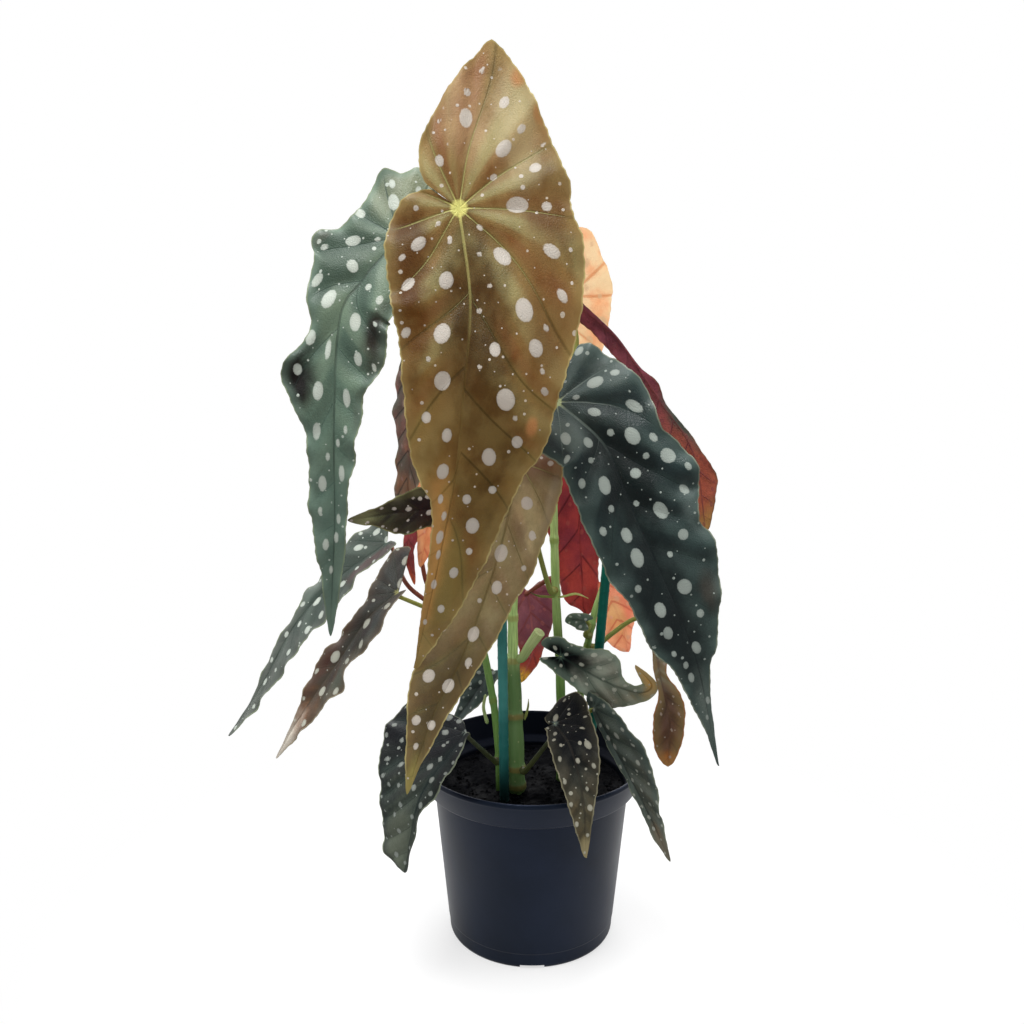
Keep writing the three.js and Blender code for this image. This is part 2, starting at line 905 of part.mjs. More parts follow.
// From the cane's bark to just behind the blade, arriving square to its underside.
function petioleGeometry(leaf, surface) {
  const curve = caneCurves[leaf.cane];
  const share = heightShare(curve, leaf.from);
  const node = curve.getPointAt(share);
  const along = curve.getTangentAt(share);
  const joint = surface.at(0, 0);
  const towards = vec(leaf.via[0] ?? joint.toArray()).sub(node);
  const out = towards.addScaledVector(along, -towards.dot(along)).normalize();
  const bark = caneRadius(CANES[leaf.cane], share) + PETIOLE.clearance;
  const start = node.clone().addScaledVector(out, bark);
  const underside = joint.clone().sub(surface.at(0, 0, 1));
  const route = [
    start,
    start.clone().addScaledVector(out, PETIOLE.outward).addScaledVector(along, PETIOLE.upward),
    ...leaf.via.map(vec),
    joint.clone().addScaledVector(underside, PETIOLE.approach),
    joint.clone().addScaledVector(underside, BLADE_THICKNESS / 2 + PETIOLE.clearance),
  ];
  const steps = Math.max(4, Math.round(start.distanceTo(joint) / PETIOLE_MESH.stepLength));
  return stemGeometry(new THREE.CatmullRomCurve3(route), () => PETIOLE.radius, steps, PETIOLE_MESH.sides);
}

// ---- assembly ----
const plant = new THREE.Group();

function add(name, geometry, finish) {
  const mesh = new THREE.Mesh(geometry, new THREE.MeshStandardMaterial(COLOURS[finish]));
  mesh.name = name;
  plant.add(mesh);
}

add("pot", potGeometry(), "pot");
const buried = [
  ...Object.keys(CANES).map((name) => caneGeometry(name, GAP)),
  ...Object.keys(STAKES).map((name) => stakeGeometry(name, GAP)),
];
add("soil", soilGeometry(buried), "soil");
for (const name of Object.keys(STAKES)) {
  add(name, stakeGeometry(name), "stake");
}
for (const name of Object.keys(CANES)) {
  add(name, caneGeometry(name), "cane");
}
for (const [name, leaf] of Object.entries(LEAVES)) {
  const surface = new LeafSurface(leaf);
  add(`blade_${name}`, bladeGeometry(surface, leaf.outline, leaf), leaf.finish);
  add(`petiole_${name}`, petioleGeometry(leaf, surface), "petiole");
}
for (const [name, midrib] of Object.entries(STIPULES)) {
  const { halfWidth, fold, thickness } = STIPULE;
  const surface = new LeafSurface({ midrib, side: [0, -1, 0.3], fold, curl: 0 });
  const outline = wing(surface.length, halfWidth, halfWidth);
  add(name, bladeGeometry(surface, outline, { ...STIPULE_MESH, thickness }), "cane");
}
for (const [name, shoot] of Object.entries({ cut_shoot: CUT_SHOOT, bud: BUD })) {
  const radiusAt = (share) => THREE.MathUtils.lerp(shoot.radii[0], shoot.radii[1], share);
  add(name, stemGeometry(splineOf(shoot.route), radiusAt, SHOOT_STEPS), "cane");
}

export default plant;
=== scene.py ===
import math
import random

import bpy
import numpy as np
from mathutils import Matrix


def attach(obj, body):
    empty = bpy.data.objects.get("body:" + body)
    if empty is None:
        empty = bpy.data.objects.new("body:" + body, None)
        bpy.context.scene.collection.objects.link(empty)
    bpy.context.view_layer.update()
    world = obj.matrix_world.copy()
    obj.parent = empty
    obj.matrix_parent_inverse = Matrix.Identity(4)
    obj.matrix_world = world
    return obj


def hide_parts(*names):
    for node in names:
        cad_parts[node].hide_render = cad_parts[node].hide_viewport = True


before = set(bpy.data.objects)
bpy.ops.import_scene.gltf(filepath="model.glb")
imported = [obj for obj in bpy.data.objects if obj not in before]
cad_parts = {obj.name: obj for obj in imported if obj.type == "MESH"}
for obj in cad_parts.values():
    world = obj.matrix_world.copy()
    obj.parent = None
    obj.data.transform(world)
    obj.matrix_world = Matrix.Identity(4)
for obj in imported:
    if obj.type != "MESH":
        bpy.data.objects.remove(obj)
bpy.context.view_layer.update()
mm = 0.001
print("frame loaded:", len(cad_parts), "nodes")

# the camera looks at the plant from a little above the pot
cameraSet = {"place": (-0.0115, -0.6102, 0.3849), "lookDown": 11.9, "lens": 38.67}
studio = {
    "front": 0.1,  # how bright the room is in front of the plant
    "back": 1.35,  # and behind it
    "lights": {
        "softbox": {"power": 15.0, "place": (-0.22, -0.4, 1.45), "size": 0.55, "mirrored": True},
        "backlight": {"power": 12.0, "place": (0.2, 1.2, 0.8), "size": 1.2, "mirrored": True},
        "fill": {"power": 3.5, "place": (-0.15, -1.15, 0.3), "size": 0.6, "mirrored": False},
    },
    "aim": (0, -0.05, 0.28),  # what the lights point at
    "floorSize": 6.0,
    "floorGlow": 0.25,  # what the floor gives back to the plant
    "shadowReach": (0.08, 0.3),  # the floor fades to plain white between these distances from the pot
}


def addCamera():
    data = bpy.data.cameras.new("camera")
    data.lens = cameraSet["lens"]
    data.sensor_width = 36
    camera = bpy.data.objects.new("camera", data)
    camera.location = cameraSet["place"]
    camera.rotation_euler = (math.radians(90 - cameraSet["lookDown"]), 0, 0)
    bpy.context.scene.collection.objects.link(camera)
    bpy.context.scene.camera = camera


addCamera()
bpy.context.scene.view_settings.view_transform = "Standard"


def paint(code):
    # "#rrggbb" as a linear colour
    parts = [int(code[i:i + 2], 16) / 255 for i in (1, 3, 5)]
    return [c / 12.92 if c <= 0.04045 else ((c + 0.055) / 1.055) ** 2.4 for c in parts] + [1]


class Wires:
    # adds nodes to one tree; a value in inputs is a number, a colour or another node's socket
    def __init__(self, tree):
        self.tree = tree

    def link(self, value, socket):
        self.tree.links.new(value, socket)

    def node(self, kind, inputs=None, **settings):
        node = self.tree.nodes.new(kind)
        for key, value in settings.items():
            setattr(node, key, value)
        for key, value in (inputs or {}).items():
            if isinstance(value, bpy.types.NodeSocket):
                self.link(value, node.inputs[key])
            else:
                node.inputs[key].default_value = value
        return node

    def math(self, operation, *values):
        return self.node("ShaderNodeMath", dict(enumerate(values)), operation=operation).outputs[0]

    def mix(self, amount, under, over):
        inputs = {0: amount, 6: under, 7: over}
        return self.node("ShaderNodeMix", inputs, data_type="RGBA").outputs[2]

    def cover(self, under, mask, amount, colour):
        # the colour laid over what is there, where the mask is
        return self.mix(self.math("MULTIPLY", mask, amount), under, paint(colour))

    def fade(self, value, start, end, low=0.0, high=1.0):
        # low at start, high at end, smooth between
        inputs = {"Value": value, "From Min": start, "From Max": end, "To Min": low, "To Max": high}
        return self.node("ShaderNodeMapRange", inputs, interpolation_type="SMOOTHSTEP").outputs[0]

    def noise(self, vector, scale, detail):
        inputs = {"Vector": vector, "Scale": scale, "Detail": detail}
        return self.node("ShaderNodeTexNoise", inputs).outputs["Fac"]

    def cells(self, vector, scale, dimensions="2D"):
        inputs = {"Vector": vector, "Scale": scale}
        return self.node("ShaderNodeTexVoronoi", inputs, voronoi_dimensions=dimensions).outputs

    def stretch(self, vector, scale):
        return self.node("ShaderNodeMapping", {"Vector": vector, "Scale": scale}).outputs[0]

    def bump(self, height, strength, depth):
        inputs = {"Height": height, "Strength": strength, "Distance": depth}
        return self.node("ShaderNodeBump", inputs).outputs[0]

    def split(self, vector):
        return self.node("ShaderNodeSeparateXYZ", {0: vector}).outputs

    def attribute(self, name):
        return self.node("ShaderNodeAttribute", attribute_name=name).outputs["Vector"]

    def group(self, name, inputs):
        return self.node("ShaderNodeGroup", inputs, node_tree=bpy.data.node_groups[name]).outputs

    def finish(self, output, skin, through=None, thin=0.0):
        # the skin's shader, blended with one for light from behind where the piece is thin
        shader = skin.outputs[0]
        if through:
            inputs = {0: thin, 1: shader, 2: through.outputs[0]}
            shader = self.node("ShaderNodeMixShader", inputs).outputs[0]
        self.link(shader, output.inputs["Surface"])


def newGroup(name, inputs, outputs):
    tree = bpy.data.node_groups.new(name, "ShaderNodeTree")
    for label, value in inputs.items():
        kind = "NodeSocketVector" if value is None else "NodeSocketFloat"
        socket = tree.interface.new_socket(label, in_out="INPUT", socket_type=kind)
        if value is not None:
            socket.default_value = value
    for label in outputs:
        tree.interface.new_socket(label, in_out="OUTPUT", socket_type="NodeSocketFloat")
    wires = Wires(tree)
    given = wires.node("NodeGroupInput").outputs
    made = wires.node("NodeGroupOutput").inputs
    return wires, given, made


def newMaterial(name):
    material = bpy.data.materials.new(name)
    material.use_nodes = True
    material.node_tree.nodes.clear()
    wires = Wires(material.node_tree)
    return material, wires, wires.node("ShaderNodeOutputMaterial")


# node groups that several finishes share
def makeLeafMarks():
    # Place is along, across and in from the margin; Marks is out from a spot, off a vein and its side
    wires, given, made = newGroup(
        "leafMarks",
        {"Place": None, "Marks": None, "Dots Per Mm": 0.17, "Dots Share": 0.45, "Vein Width": 0.6,
         "Star Size": 17.0},
        ["Spots", "Veins", "Beside Veins", "Lit Pleat Side", "Shaded Pleat Side", "Midrib", "Near Joint", "Star",
         "Margin"],
    )
    along, across, inward = wires.split(given["Place"])
    offSpot, offVein, pleat = wires.split(given["Marks"])
    squared = wires.math("MULTIPLY_ADD", along, along, wires.math("MULTIPLY", across, across))
    reach = wires.math("SQRT", squared)
    ragged = wires.math("MULTIPLY_ADD", wires.noise(given["Place"], 0.7, 3), 0.6, -0.3)
    spot = wires.fade(wires.math("ADD", offSpot, ragged), 0.28, -0.22)
    spot = wires.math("MULTIPLY", spot, wires.fade(offSpot, 0.2, -1.4, 0.8, 1.0))
    cells = wires.cells(given["Place"], given["Dots Per Mm"])
    chance, size, _ = wires.split(cells["Color"])
    radius = wires.math("MULTIPLY_ADD", wires.math("POWER", size, 3.0), 0.8, 0.26)
    offDot = wires.math("DIVIDE", cells["Distance"], given["Dots Per Mm"])
    dot = wires.fade(wires.math("SUBTRACT", offDot, radius), 0.16, -0.12)
    dot = wires.math("MULTIPLY", dot, wires.math("LESS_THAN", chance, given["Dots Share"]))
    clear = wires.fade(wires.math("ABSOLUTE", across), 0.8, 2.0)
    dot = wires.math("MULTIPLY", dot, wires.math("MULTIPLY", clear, 0.95))
    wires.link(wires.math("MAXIMUM", spot, dot), made["Spots"])
    thin = wires.fade(reach, 10, 130, 1.0, 0.5)
    width = wires.math("MULTIPLY", given["Vein Width"], thin)
    offVein = wires.math("ABSOLUTE", offVein)
    vein = wires.math("MULTIPLY", wires.fade(wires.math("DIVIDE", offVein, width), 1.5, 0.2),
                      wires.fade(inward, 1.0, 9.0))
    wires.link(vein, made["Veins"])
    stars = wires.math("DIVIDE", reach, given["Star Size"])
    wires.link(wires.fade(stars, 2.0, 7.0, 1.0, 0.0), made["Near Joint"])
    fading = wires.fade(reach, 45, 130, 1.0, 0.3)
    # painted light and painted shade: one side of each pleat lighter, the other darker
    wires.link(wires.math("MULTIPLY", wires.fade(pleat, 0.1, 0.95), fading), made["Lit Pleat Side"])
    wires.link(wires.math("MULTIPLY", wires.fade(pleat, -0.1, -0.95), fading), made["Shaded Pleat Side"])
    nearVein = wires.math("MINIMUM", offVein, wires.math("ABSOLUTE", across))
    wires.link(wires.fade(nearVein, 6.0, 0.0), made["Beside Veins"])
    halfWidth = wires.fade(along, 0, 190, 0.7, 0.35)
    rib = wires.fade(wires.math("DIVIDE", wires.math("ABSOLUTE", across), halfWidth), 1.3, 0.5)
    rib = wires.math("MULTIPLY", rib, wires.fade(along, -2, 1))
    broad = wires.fade(wires.math("ADD", inward, wires.math("ABSOLUTE", across)), 1.5, 5.0)
    rib = wires.math("MULTIPLY", rib, broad)
    wires.link(rib, made["Midrib"])
    wires.link(wires.fade(stars, 1.0, 0.1), made["Star"])
    wires.link(wires.math("MULTIPLY", wires.fade(inward, 0.95, 0.35), broad), made["Margin"])


def makeLeafTissue():
    wires, given, made = newGroup(
        "leafTissue", {"Place": None, "Patch Level": 0.6}, ["Mottle", "Patch", "Cells"]
    )
    broad = wires.noise(given["Place"], 0.05, 4)
    fine = wires.noise(given["Place"], 0.45, 3)
    mottle = wires.math("MULTIPLY_ADD", fine, 0.45, wires.math("MULTIPLY", broad, 0.75))
    wires.link(wires.fade(mottle, 0.42, 0.78), made["Mottle"])
    moved = wires.node("ShaderNodeVectorMath", {0: given["Place"], 1: (37, 11, 5)}).outputs[0]
    patch = wires.noise(moved, 0.034, 3)
    level = given["Patch Level"]
    wires.link(wires.fade(wires.math("SUBTRACT", patch, level), -0.1, 0.16), made["Patch"])
    cells = wires.cells(given["Place"], 1.3)
    bumps = wires.math("MULTIPLY_ADD", cells["Distance"], -0.6, wires.noise(given["Place"], 1.1, 2))
    evenEdge = wires.fade(wires.split(given["Place"])[2], 0.5, 5, 0.15, 1)
    wires.link(wires.math("MULTIPLY", bumps, evenEdge), made["Cells"])


def softOval(wires, place, along, across, long, wide):
    # a soft uneven oval round a place on the blade
    offAlong, offAcross, _ = wires.split(place)
    x = wires.math("DIVIDE", wires.math("SUBTRACT", offAlong, along), long)
    y = wires.math("DIVIDE", wires.math("SUBTRACT", offAcross, across), wide)
    off = wires.math("SQRT", wires.math("MULTIPLY_ADD", x, x, wires.math("MULTIPLY", y, y)))
    uneven = wires.math("MULTIPLY_ADD", wires.noise(place, 0.09, 3), 0.9, -0.45)
    return wires.fade(wires.math("ADD", off, uneven), 1.25, 0.35)


def makeSoftPatch():
    wires, given, made = newGroup(
        "softPatch", {"Place": None, "Along": 0.0, "Across": 0.0, "Long": 20.0, "Wide": 10.0}, ["Mask"]
    )
    mask = softOval(wires, *(given[name] for name in ("Place", "Along", "Across", "Long", "Wide")))
    wires.link(mask, made["Mask"])


def makeStemSkin():
    # Place is around, along and off the nearest node, in millimetres
    wires, given, made = newGroup(
        "stemSkin", {"Place": None, "Speckle": 0.35}, ["Streaks", "Speckles", "Ring", "Height"]
    )
    streaks = wires.noise(wires.stretch(given["Place"], (1.0, 0.06, 0.0)), 1.1, 3)
    wires.link(wires.fade(streaks, 0.35, 0.68), made["Streaks"])
    cells = wires.cells(wires.stretch(given["Place"], (1.0, 0.5, 0.0)), 0.6)
    chance = wires.math("LESS_THAN", wires.split(cells["Color"])[0], given["Speckle"])
    speckle = wires.math("MULTIPLY", wires.fade(cells["Distance"], 0.2, 0.12), chance)
    wires.link(speckle, made["Speckles"])
    wobble = wires.math("MULTIPLY_ADD", wires.noise(given["Place"], 0.5, 2), 1.6, -0.8)
    offNode = wires.math("ADD", wires.split(given["Place"])[2], wobble)
    wires.link(wires.fade(offNode, 2.6, 0.7), made["Ring"])
    wires.link(wires.math("MULTIPLY_ADD", speckle, 0.5, streaks), made["Height"])


def makePlasticWear():
    wires, given, made = newGroup(
        "plasticWear", {"Vector": None, "Grain Scale": 900.0, "Dust Level": 0.62},
        ["Tone", "Dust", "Roughness", "Height"],
    )
    broad = wires.noise(given["Vector"], 22, 4)
    grain = wires.noise(given["Vector"], given["Grain Scale"], 2)
    wires.link(wires.fade(broad, 0.3, 0.7), made["Tone"])
    cells = wires.cells(given["Vector"], 150.0, "3D")
    chance = wires.math("GREATER_THAN", wires.split(cells["Color"])[0], 0.93)
    speck = wires.math("MULTIPLY", wires.fade(cells["Distance"], 0.16, 0.08), chance)
    film = wires.fade(wires.noise(given["Vector"], 60, 6), given["Dust Level"], 0.85)
    wires.link(wires.math("MAXIMUM", wires.math("MULTIPLY", film, 0.5), speck), made["Dust"])
    wires.link(wires.math("MULTIPLY_ADD", broad, 0.22, 0.27), made["Roughness"])
    wires.link(grain, made["Height"])


for makeGroup in (makeLeafMarks, makeLeafTissue, makeSoftPatch, makeStemSkin, makePlasticWear):
    makeGroup()
print("shader groups built")

# base, middle and tip colour the blade from the lobes to the point, at the zones along it as shares of its
# length. deep is cloudy mottling, patch broad areas, beside the tissue next to the veins, rim the zone inside
# the margin, star and nearVein what is round the joint. The two pleat colours and their amounts are painted
# light and painted shade: lighter on one side of each pleat and darker on the other, as a light from above
# would make them. glow is what light from behind turns into, and thin how much of the look it is. washes are
# soft ovals of colour, some of them painted light or painted shade as noted at each leaf: along, across, long
# and wide in mm, colour, amount.
upperLooks = {
    "bronze": {
        "base": "#b4946a", "middle": "#84693a", "tip": "#8c7644", "deep": "#503e22", "rim": "#948050",
        "patch": "#8f5834", "patchLevel": 0.52, "patchAmount": 0.45, "deepAmount": 0.4, "beside": "#74723e",
        "litPleat": "#a0a06e", "litPleatAmount": 0.65, "dark": "#743620", "shadedPleatAmount": 0.7,
        "vein": "#4a3c1e", "veinAmount": 0.45, "midrib": "#4c4622", "nearVein": "#aaa868", "star": "#f4f08c",
        "spot": "#dcd6cc",
        "margin": "#c4b87c", "glow": "#dcc088", "glowTip": "#c8a058", "glowDeep": "#a88048",
        "glowVein": "#6a5a24", "thin": 0.32, "rough": (0.4, 0.55), "dots": 0.35, "veinWidth": 0.35,
        "starShare": 0.046, "zones": (-0.3, 0.15, 0.85), "gloss": 0.35,
    },
    "silver": {
        "base": "#98a98c", "middle": "#6f8a76", "tip": "#7f9c8e", "deep": "#3a4c42", "rim": "#7d9484",
        "patch": "#485c50", "patchLevel": 0.52, "patchAmount": 0.5, "deepAmount": 0.4, "beside": "#5c7666",
        "litPleat": "#93a88e", "litPleatAmount": 0.4, "dark": "#40544a", "shadedPleatAmount": 0.4,
        "vein": "#33473e", "veinAmount": 0.45, "midrib": "#2c3c34", "nearVein": "#4c6054", "star": "#c9d6a0",
        "spot": "#d2dcd0",
        "margin": "#93a17f", "glow": "#7f9a68", "glowTip": "#5f7a58", "glowDeep": "#4f6a48",
        "glowVein": "#2c4028", "thin": 0.22, "rough": (0.34, 0.5), "dots": 0.4, "veinWidth": 0.4,
        "starShare": 0.03, "zones": (-0.2, 0.25, 0.85), "gloss": 0.4,
    },
    "green": {
        "base": "#4c5f5c", "middle": "#283838", "tip": "#43524e", "deep": "#182224", "rim": "#50625c",
        "patch": "#22302f", "patchLevel": 0.52, "patchAmount": 0.4, "deepAmount": 0.45, "beside": "#35443f",
        "litPleat": "#5c6f69", "litPleatAmount": 0.35, "dark": "#182022", "shadedPleatAmount": 0.4,
        "vein": "#141e20", "veinAmount": 0.5, "midrib": "#182224", "nearVein": "#6c7a72", "star": "#c3d09a",
        "spot": "#aab4ac",
        "margin": "#8a927c", "glow": "#4a5640", "glowTip": "#3c4a38", "glowDeep": "#1c2818",
        "glowVein": "#101a10", "thin": 0.15, "rough": (0.34, 0.5), "dots": 0.4, "veinWidth": 0.4,
        "starShare": 0.03, "zones": (-0.1, 0.2, 0.75), "gloss": 0.45,
    },
    "backlit": {  # the far side of a blade that glows from underneath
        "base": "#5a6a4c", "middle": "#55603f", "tip": "#6a5c38", "deep": "#4a4a2c", "rim": "#6f7048",
        "patch": "#6a4a30", "patchLevel": 0.52, "patchAmount": 0.6, "deepAmount": 0.5, "beside": "#66683c",
        "litPleat": "#7a8456", "litPleatAmount": 0.4, "dark": "#3f4228", "shadedPleatAmount": 0.4,
        "vein": "#3a3a20", "veinAmount": 0.6, "midrib": "#3f4022", "nearVein": "#7c7c48", "star": "#d3d88a",
        "spot": "#d6d2c0",
        "margin": "#a5a060", "glow": "#fff4e0", "glowTip": "#fff0d8", "glowDeep": "#ffe8d0",
        "glowVein": "#d8c0a0", "thin": 0.72, "rough": (0.4, 0.55), "dots": 0.4, "veinWidth": 0.5,
        "starShare": 0.05, "zones": (-0.1, 0.2, 0.75), "gloss": 0.3,
    },
}
underLooks = {
    "burgundy": {
        "base": "#64283a", "tip": "#6a2c30", "deep": "#35121c", "patch": "#4a1c30", "vein": "#7c3a40",
        "spot": "#6c3038", "margin": "#6a3a34", "glow": "#a04a38", "glowTip": "#a04a38",
        "glowDeep": "#6a2a24", "glowVein": "#3a1018", "thin": 0.3, "rough": (0.4, 0.55), "zones": (0, 0.9),
        "gloss": 0.3,
    },
    "wine": {
        "base": "#92525c", "tip": "#b05a48", "deep": "#6a3440", "patch": "#7a4050", "vein": "#9a5458",
        "spot": "#9a5a60", "margin": "#a87058", "glow": "#b05058", "glowTip": "#e8784c",
        "glowDeep": "#8a3c44", "glowVein": "#5a2430", "thin": 0.5, "rough": (0.4, 0.55), "zones": (0.3, 0.8),
        "gloss": 0.3,
    },
    "crimson": {
        "base": "#8a3a3c", "tip": "#94403e", "deep": "#5e2430", "patch": "#5c2440", "vein": "#4a1826",
        "spot": "#9a4a48", "margin": "#c8806a", "glow": "#a43e40", "glowTip": "#a8423e",
        "glowDeep": "#7e3038", "glowVein": "#46141f", "thin": 0.5, "rough": (0.45, 0.6), "zones": (0.1, 0.9),
        "gloss": 0.3,
    },
    # coral and peach are partly painted light: glow is the light that comes through, but their base, tip,
    # deep and spot colours are the bright backlit colours too, not the deeper red of the underside itself
    "coral": {
        "base": "#e09a84", "tip": "#e49e88", "deep": "#cf7a6a", "patch": "#c8905c", "vein": "#c0705c",
        "spot": "#eeb49c", "margin": "#e89a78", "glow": "#ffb49c", "glowTip": "#ffb898",
        "glowDeep": "#f09480", "glowVein": "#dc7060", "thin": 0.65, "rough": (0.45, 0.6), "zones": (0.1, 0.9),
        "gloss": 0.3,
    },
    "peach": {
        "base": "#efc09a", "tip": "#f2c49a", "deep": "#e4a880", "patch": "#e8b87c", "vein": "#e09a70",
        "spot": "#f4d4b4", "margin": "#f2cc84", "glow": "#fde8c8", "glowTip": "#fbdcb8",
        "glowDeep": "#fcc29c", "glowVein": "#f4aa80", "thin": 0.75, "rough": (0.45, 0.6), "zones": (0, 0.9),
        "gloss": 0.3,
    },
    "rust": {
        "base": "#8a5a30", "tip": "#8a6434", "deep": "#64401f", "patch": "#8a5a28", "vein": "#8a5a2c",
        "spot": "#9f7a54", "margin": "#9a7a3a", "glow": "#f4e8d0", "glowTip": "#f4e4c8",
        "glowDeep": "#e8d0b0", "glowVein": "#b8986c", "thin": 0.5, "rough": (0.42, 0.58), "zones": (0, 0.9),
        "gloss": 0.3,
    },
}


def addWashes(wires, place, body, washes):
    for along, across, long, wide, colour, amount in washes:
        mask = wires.group("softPatch", {
            "Place": place, "Along": along, "Across": across, "Long": long, "Wide": wide,
        })["Mask"]
        body = wires.cover(body, mask, amount, colour)
    return body


def makeUpper(name, look, length):
    material, wires, output = newMaterial("upper_" + name)
    place, marks = wires.attribute("place"), wires.attribute("marks")
    found = wires.group("leafMarks", {
        "Place": place, "Marks": marks, "Dots Share": look["dots"], "Vein Width": look["veinWidth"],
        "Star Size": max(look["starShare"] * length, 0.5),
    })
    tissue = wires.group("leafTissue", {"Place": place, "Patch Level": look["patchLevel"]})
    along, _, inward = wires.split(place)
    lobes, middle, point = (share * length for share in look["zones"])
    body = wires.mix(wires.fade(along, lobes, middle), paint(look["base"]), paint(look["middle"]))
    body = wires.mix(wires.fade(along, middle, point), body, paint(look["tip"]))
    body = wires.cover(body, tissue["Patch"], look["patchAmount"], look["patch"])
    body = wires.cover(body, tissue["Mottle"], look["deepAmount"], look["deep"])
    # painted light and painted shade on the two sides of each pleat
    body = wires.cover(body, found["Lit Pleat Side"], look["litPleatAmount"], look["litPleat"])
    body = wires.cover(body, found["Shaded Pleat Side"], look["shadedPleatAmount"], look["dark"])
    body = wires.cover(body, found["Beside Veins"], 0.35, look["beside"])
    body = addWashes(wires, place, body, look.get("washes", ()))
    body = wires.mix(wires.fade(inward, 7, 1, 0.0, 0.5), body, paint(look["rim"]))
    veinTone = wires.mix(found["Near Joint"], paint(look["vein"]), paint(look["nearVein"]))
    ribTone = wires.mix(found["Near Joint"], paint(look["midrib"]), paint(look["nearVein"]))
    veinShare = wires.math("MULTIPLY_ADD", found["Near Joint"], 0.4, look["veinAmount"])
    body = wires.mix(wires.math("MULTIPLY", found["Veins"], veinShare), body, veinTone)
    body = wires.mix(wires.math("MULTIPLY", found["Midrib"], veinShare), body, ribTone)
    rays = wires.math("MAXIMUM", found["Veins"], found["Midrib"])
    core = wires.math("MULTIPLY_ADD", rays, 0.7, wires.fade(found["Star"], 0.68, 0.9))
    body = wires.cover(body, core, found["Star"], look["star"])
    body = wires.mix(found["Spots"], body, paint(look["spot"]))
    body = wires.cover(body, found["Margin"], 0.75, look["margin"])
    height = wires.math("MULTIPLY_ADD", rays, -0.8, tissue["Cells"])
    height = wires.math("MULTIPLY_ADD", found["Spots"], 0.3, height)
    finishLeaf(wires, output, look, place, marks, body, height, tissue["Mottle"], middle, point)
    return material


def makeUnder(name, look, length):
    material, wires, output = newMaterial("under_" + name)
    place, marks = wires.attribute("place"), wires.attribute("marks")
    found = wires.group("leafMarks", {
        "Place": place, "Marks": marks, "Dots Share": 0.35, "Vein Width": 1.0, "Star Size": 0.05 * length,
    })
    tissue = wires.group("leafTissue", {"Place": place, "Patch Level": 0.5})
    lobes, point = (share * length for share in look["zones"])
    along = wires.split(place)[0]
    body = wires.mix(wires.fade(along, lobes, point), paint(look["base"]), paint(look["tip"]))
    body = wires.cover(body, tissue["Mottle"], 0.7, look["deep"])
    body = wires.cover(body, tissue["Patch"], 0.6, look["patch"])
    body = addWashes(wires, place, body, look.get("washes", ()))
    body = wires.cover(body, found["Spots"], 0.5, look["spot"])
    rays = wires.math("MAXIMUM", found["Veins"], found["Midrib"])
    body = wires.cover(body, rays, 0.8, look["vein"])
    body = wires.cover(body, found["Margin"], 0.7, look["margin"])
    height = wires.math("MULTIPLY_ADD", rays, 1.4, tissue["Cells"])
    finishLeaf(wires, output, look, place, marks, body, height, tissue["Mottle"], lobes, point)
    return material


def finishLeaf(wires, output, look, place, marks, body, height, mottle, start, end):
    # light from behind comes through the blade, less of it at the veins and in thicker patches
    bump = wires.bump(height, 0.45, 0.0005)
    low, high = look["rough"]
    skin = wires.node("ShaderNodeBsdfPrincipled", {
        "Base Color": body, "Roughness": wires.fade(mottle, 0, 1, low, high), "Normal": bump,
        "Specular IOR Level": look["gloss"],
    })
    along = wires.split(place)[0]
    light = wires.mix(wires.fade(along, start, end), paint(look["glow"]), paint(look["glowTip"]))
    light = wires.mix(wires.fade(wires.noise(place, 0.06, 4), 0.38, 0.68), light, paint(look["glowDeep"]))
    for *oval, colour, amount in look.get("glowWashes", ()):
        light = wires.cover(light, softOval(wires, place, *oval), amount, colour)
    offSpot, offVein, _ = wires.split(marks)
    offVein = wires.math("ABSOLUTE", offVein)
    light = wires.mix(wires.fade(offVein, 1.3, 0.3, 0.0, 0.6), light, paint(look["glowVein"]))
    light = wires.mix(wires.fade(offSpot, 0.2, -0.2, 0.0, 0.8), light, paint(look["spot"]))
    through = wires.node("ShaderNodeBsdfTranslucent", {"Color": light, "Normal": bump})
    wires.finish(output, skin, through, look["thin"])


def smoothCurve(points, steps, spaced=True):
    # a Catmull-Rom curve through the points, as evenly spaced places, with its length
    points = np.array(points, float)
    lead = 2 * points[0] - points[1] if spaced else points[0]
    trail = 2 * points[-1] - points[-2] if spaced else points[-1]
    held = np.vstack([lead, points, trail])
    t = np.linspace(0, 1, 40, endpoint=False)[:, None]
    pieces = []
    for p, q, r, s in zip(held, held[1:], held[2:], held[3:]):
        pieces.append(0.5 * (2 * q + (r - p) * t + (2 * p - 5 * q + 4 * r - s) * t**2
                             + (3 * q - p - 3 * r + s) * t**3))
    line = np.vstack(pieces + [points[-1:]])
    gone = np.concatenate([[0], np.cumsum(np.linalg.norm(np.diff(line, axis=0), axis=1))])
    even = np.linspace(0, gone[-1], steps + 1)
    return np.stack([np.interp(even, gone, line[:, k]) for k in range(line.shape[1])], 1), gone[-1]


def unit(rows):
    return rows / np.linalg.norm(rows, axis=-1, keepdims=True)


midribSteps = 160  # places along a midrib


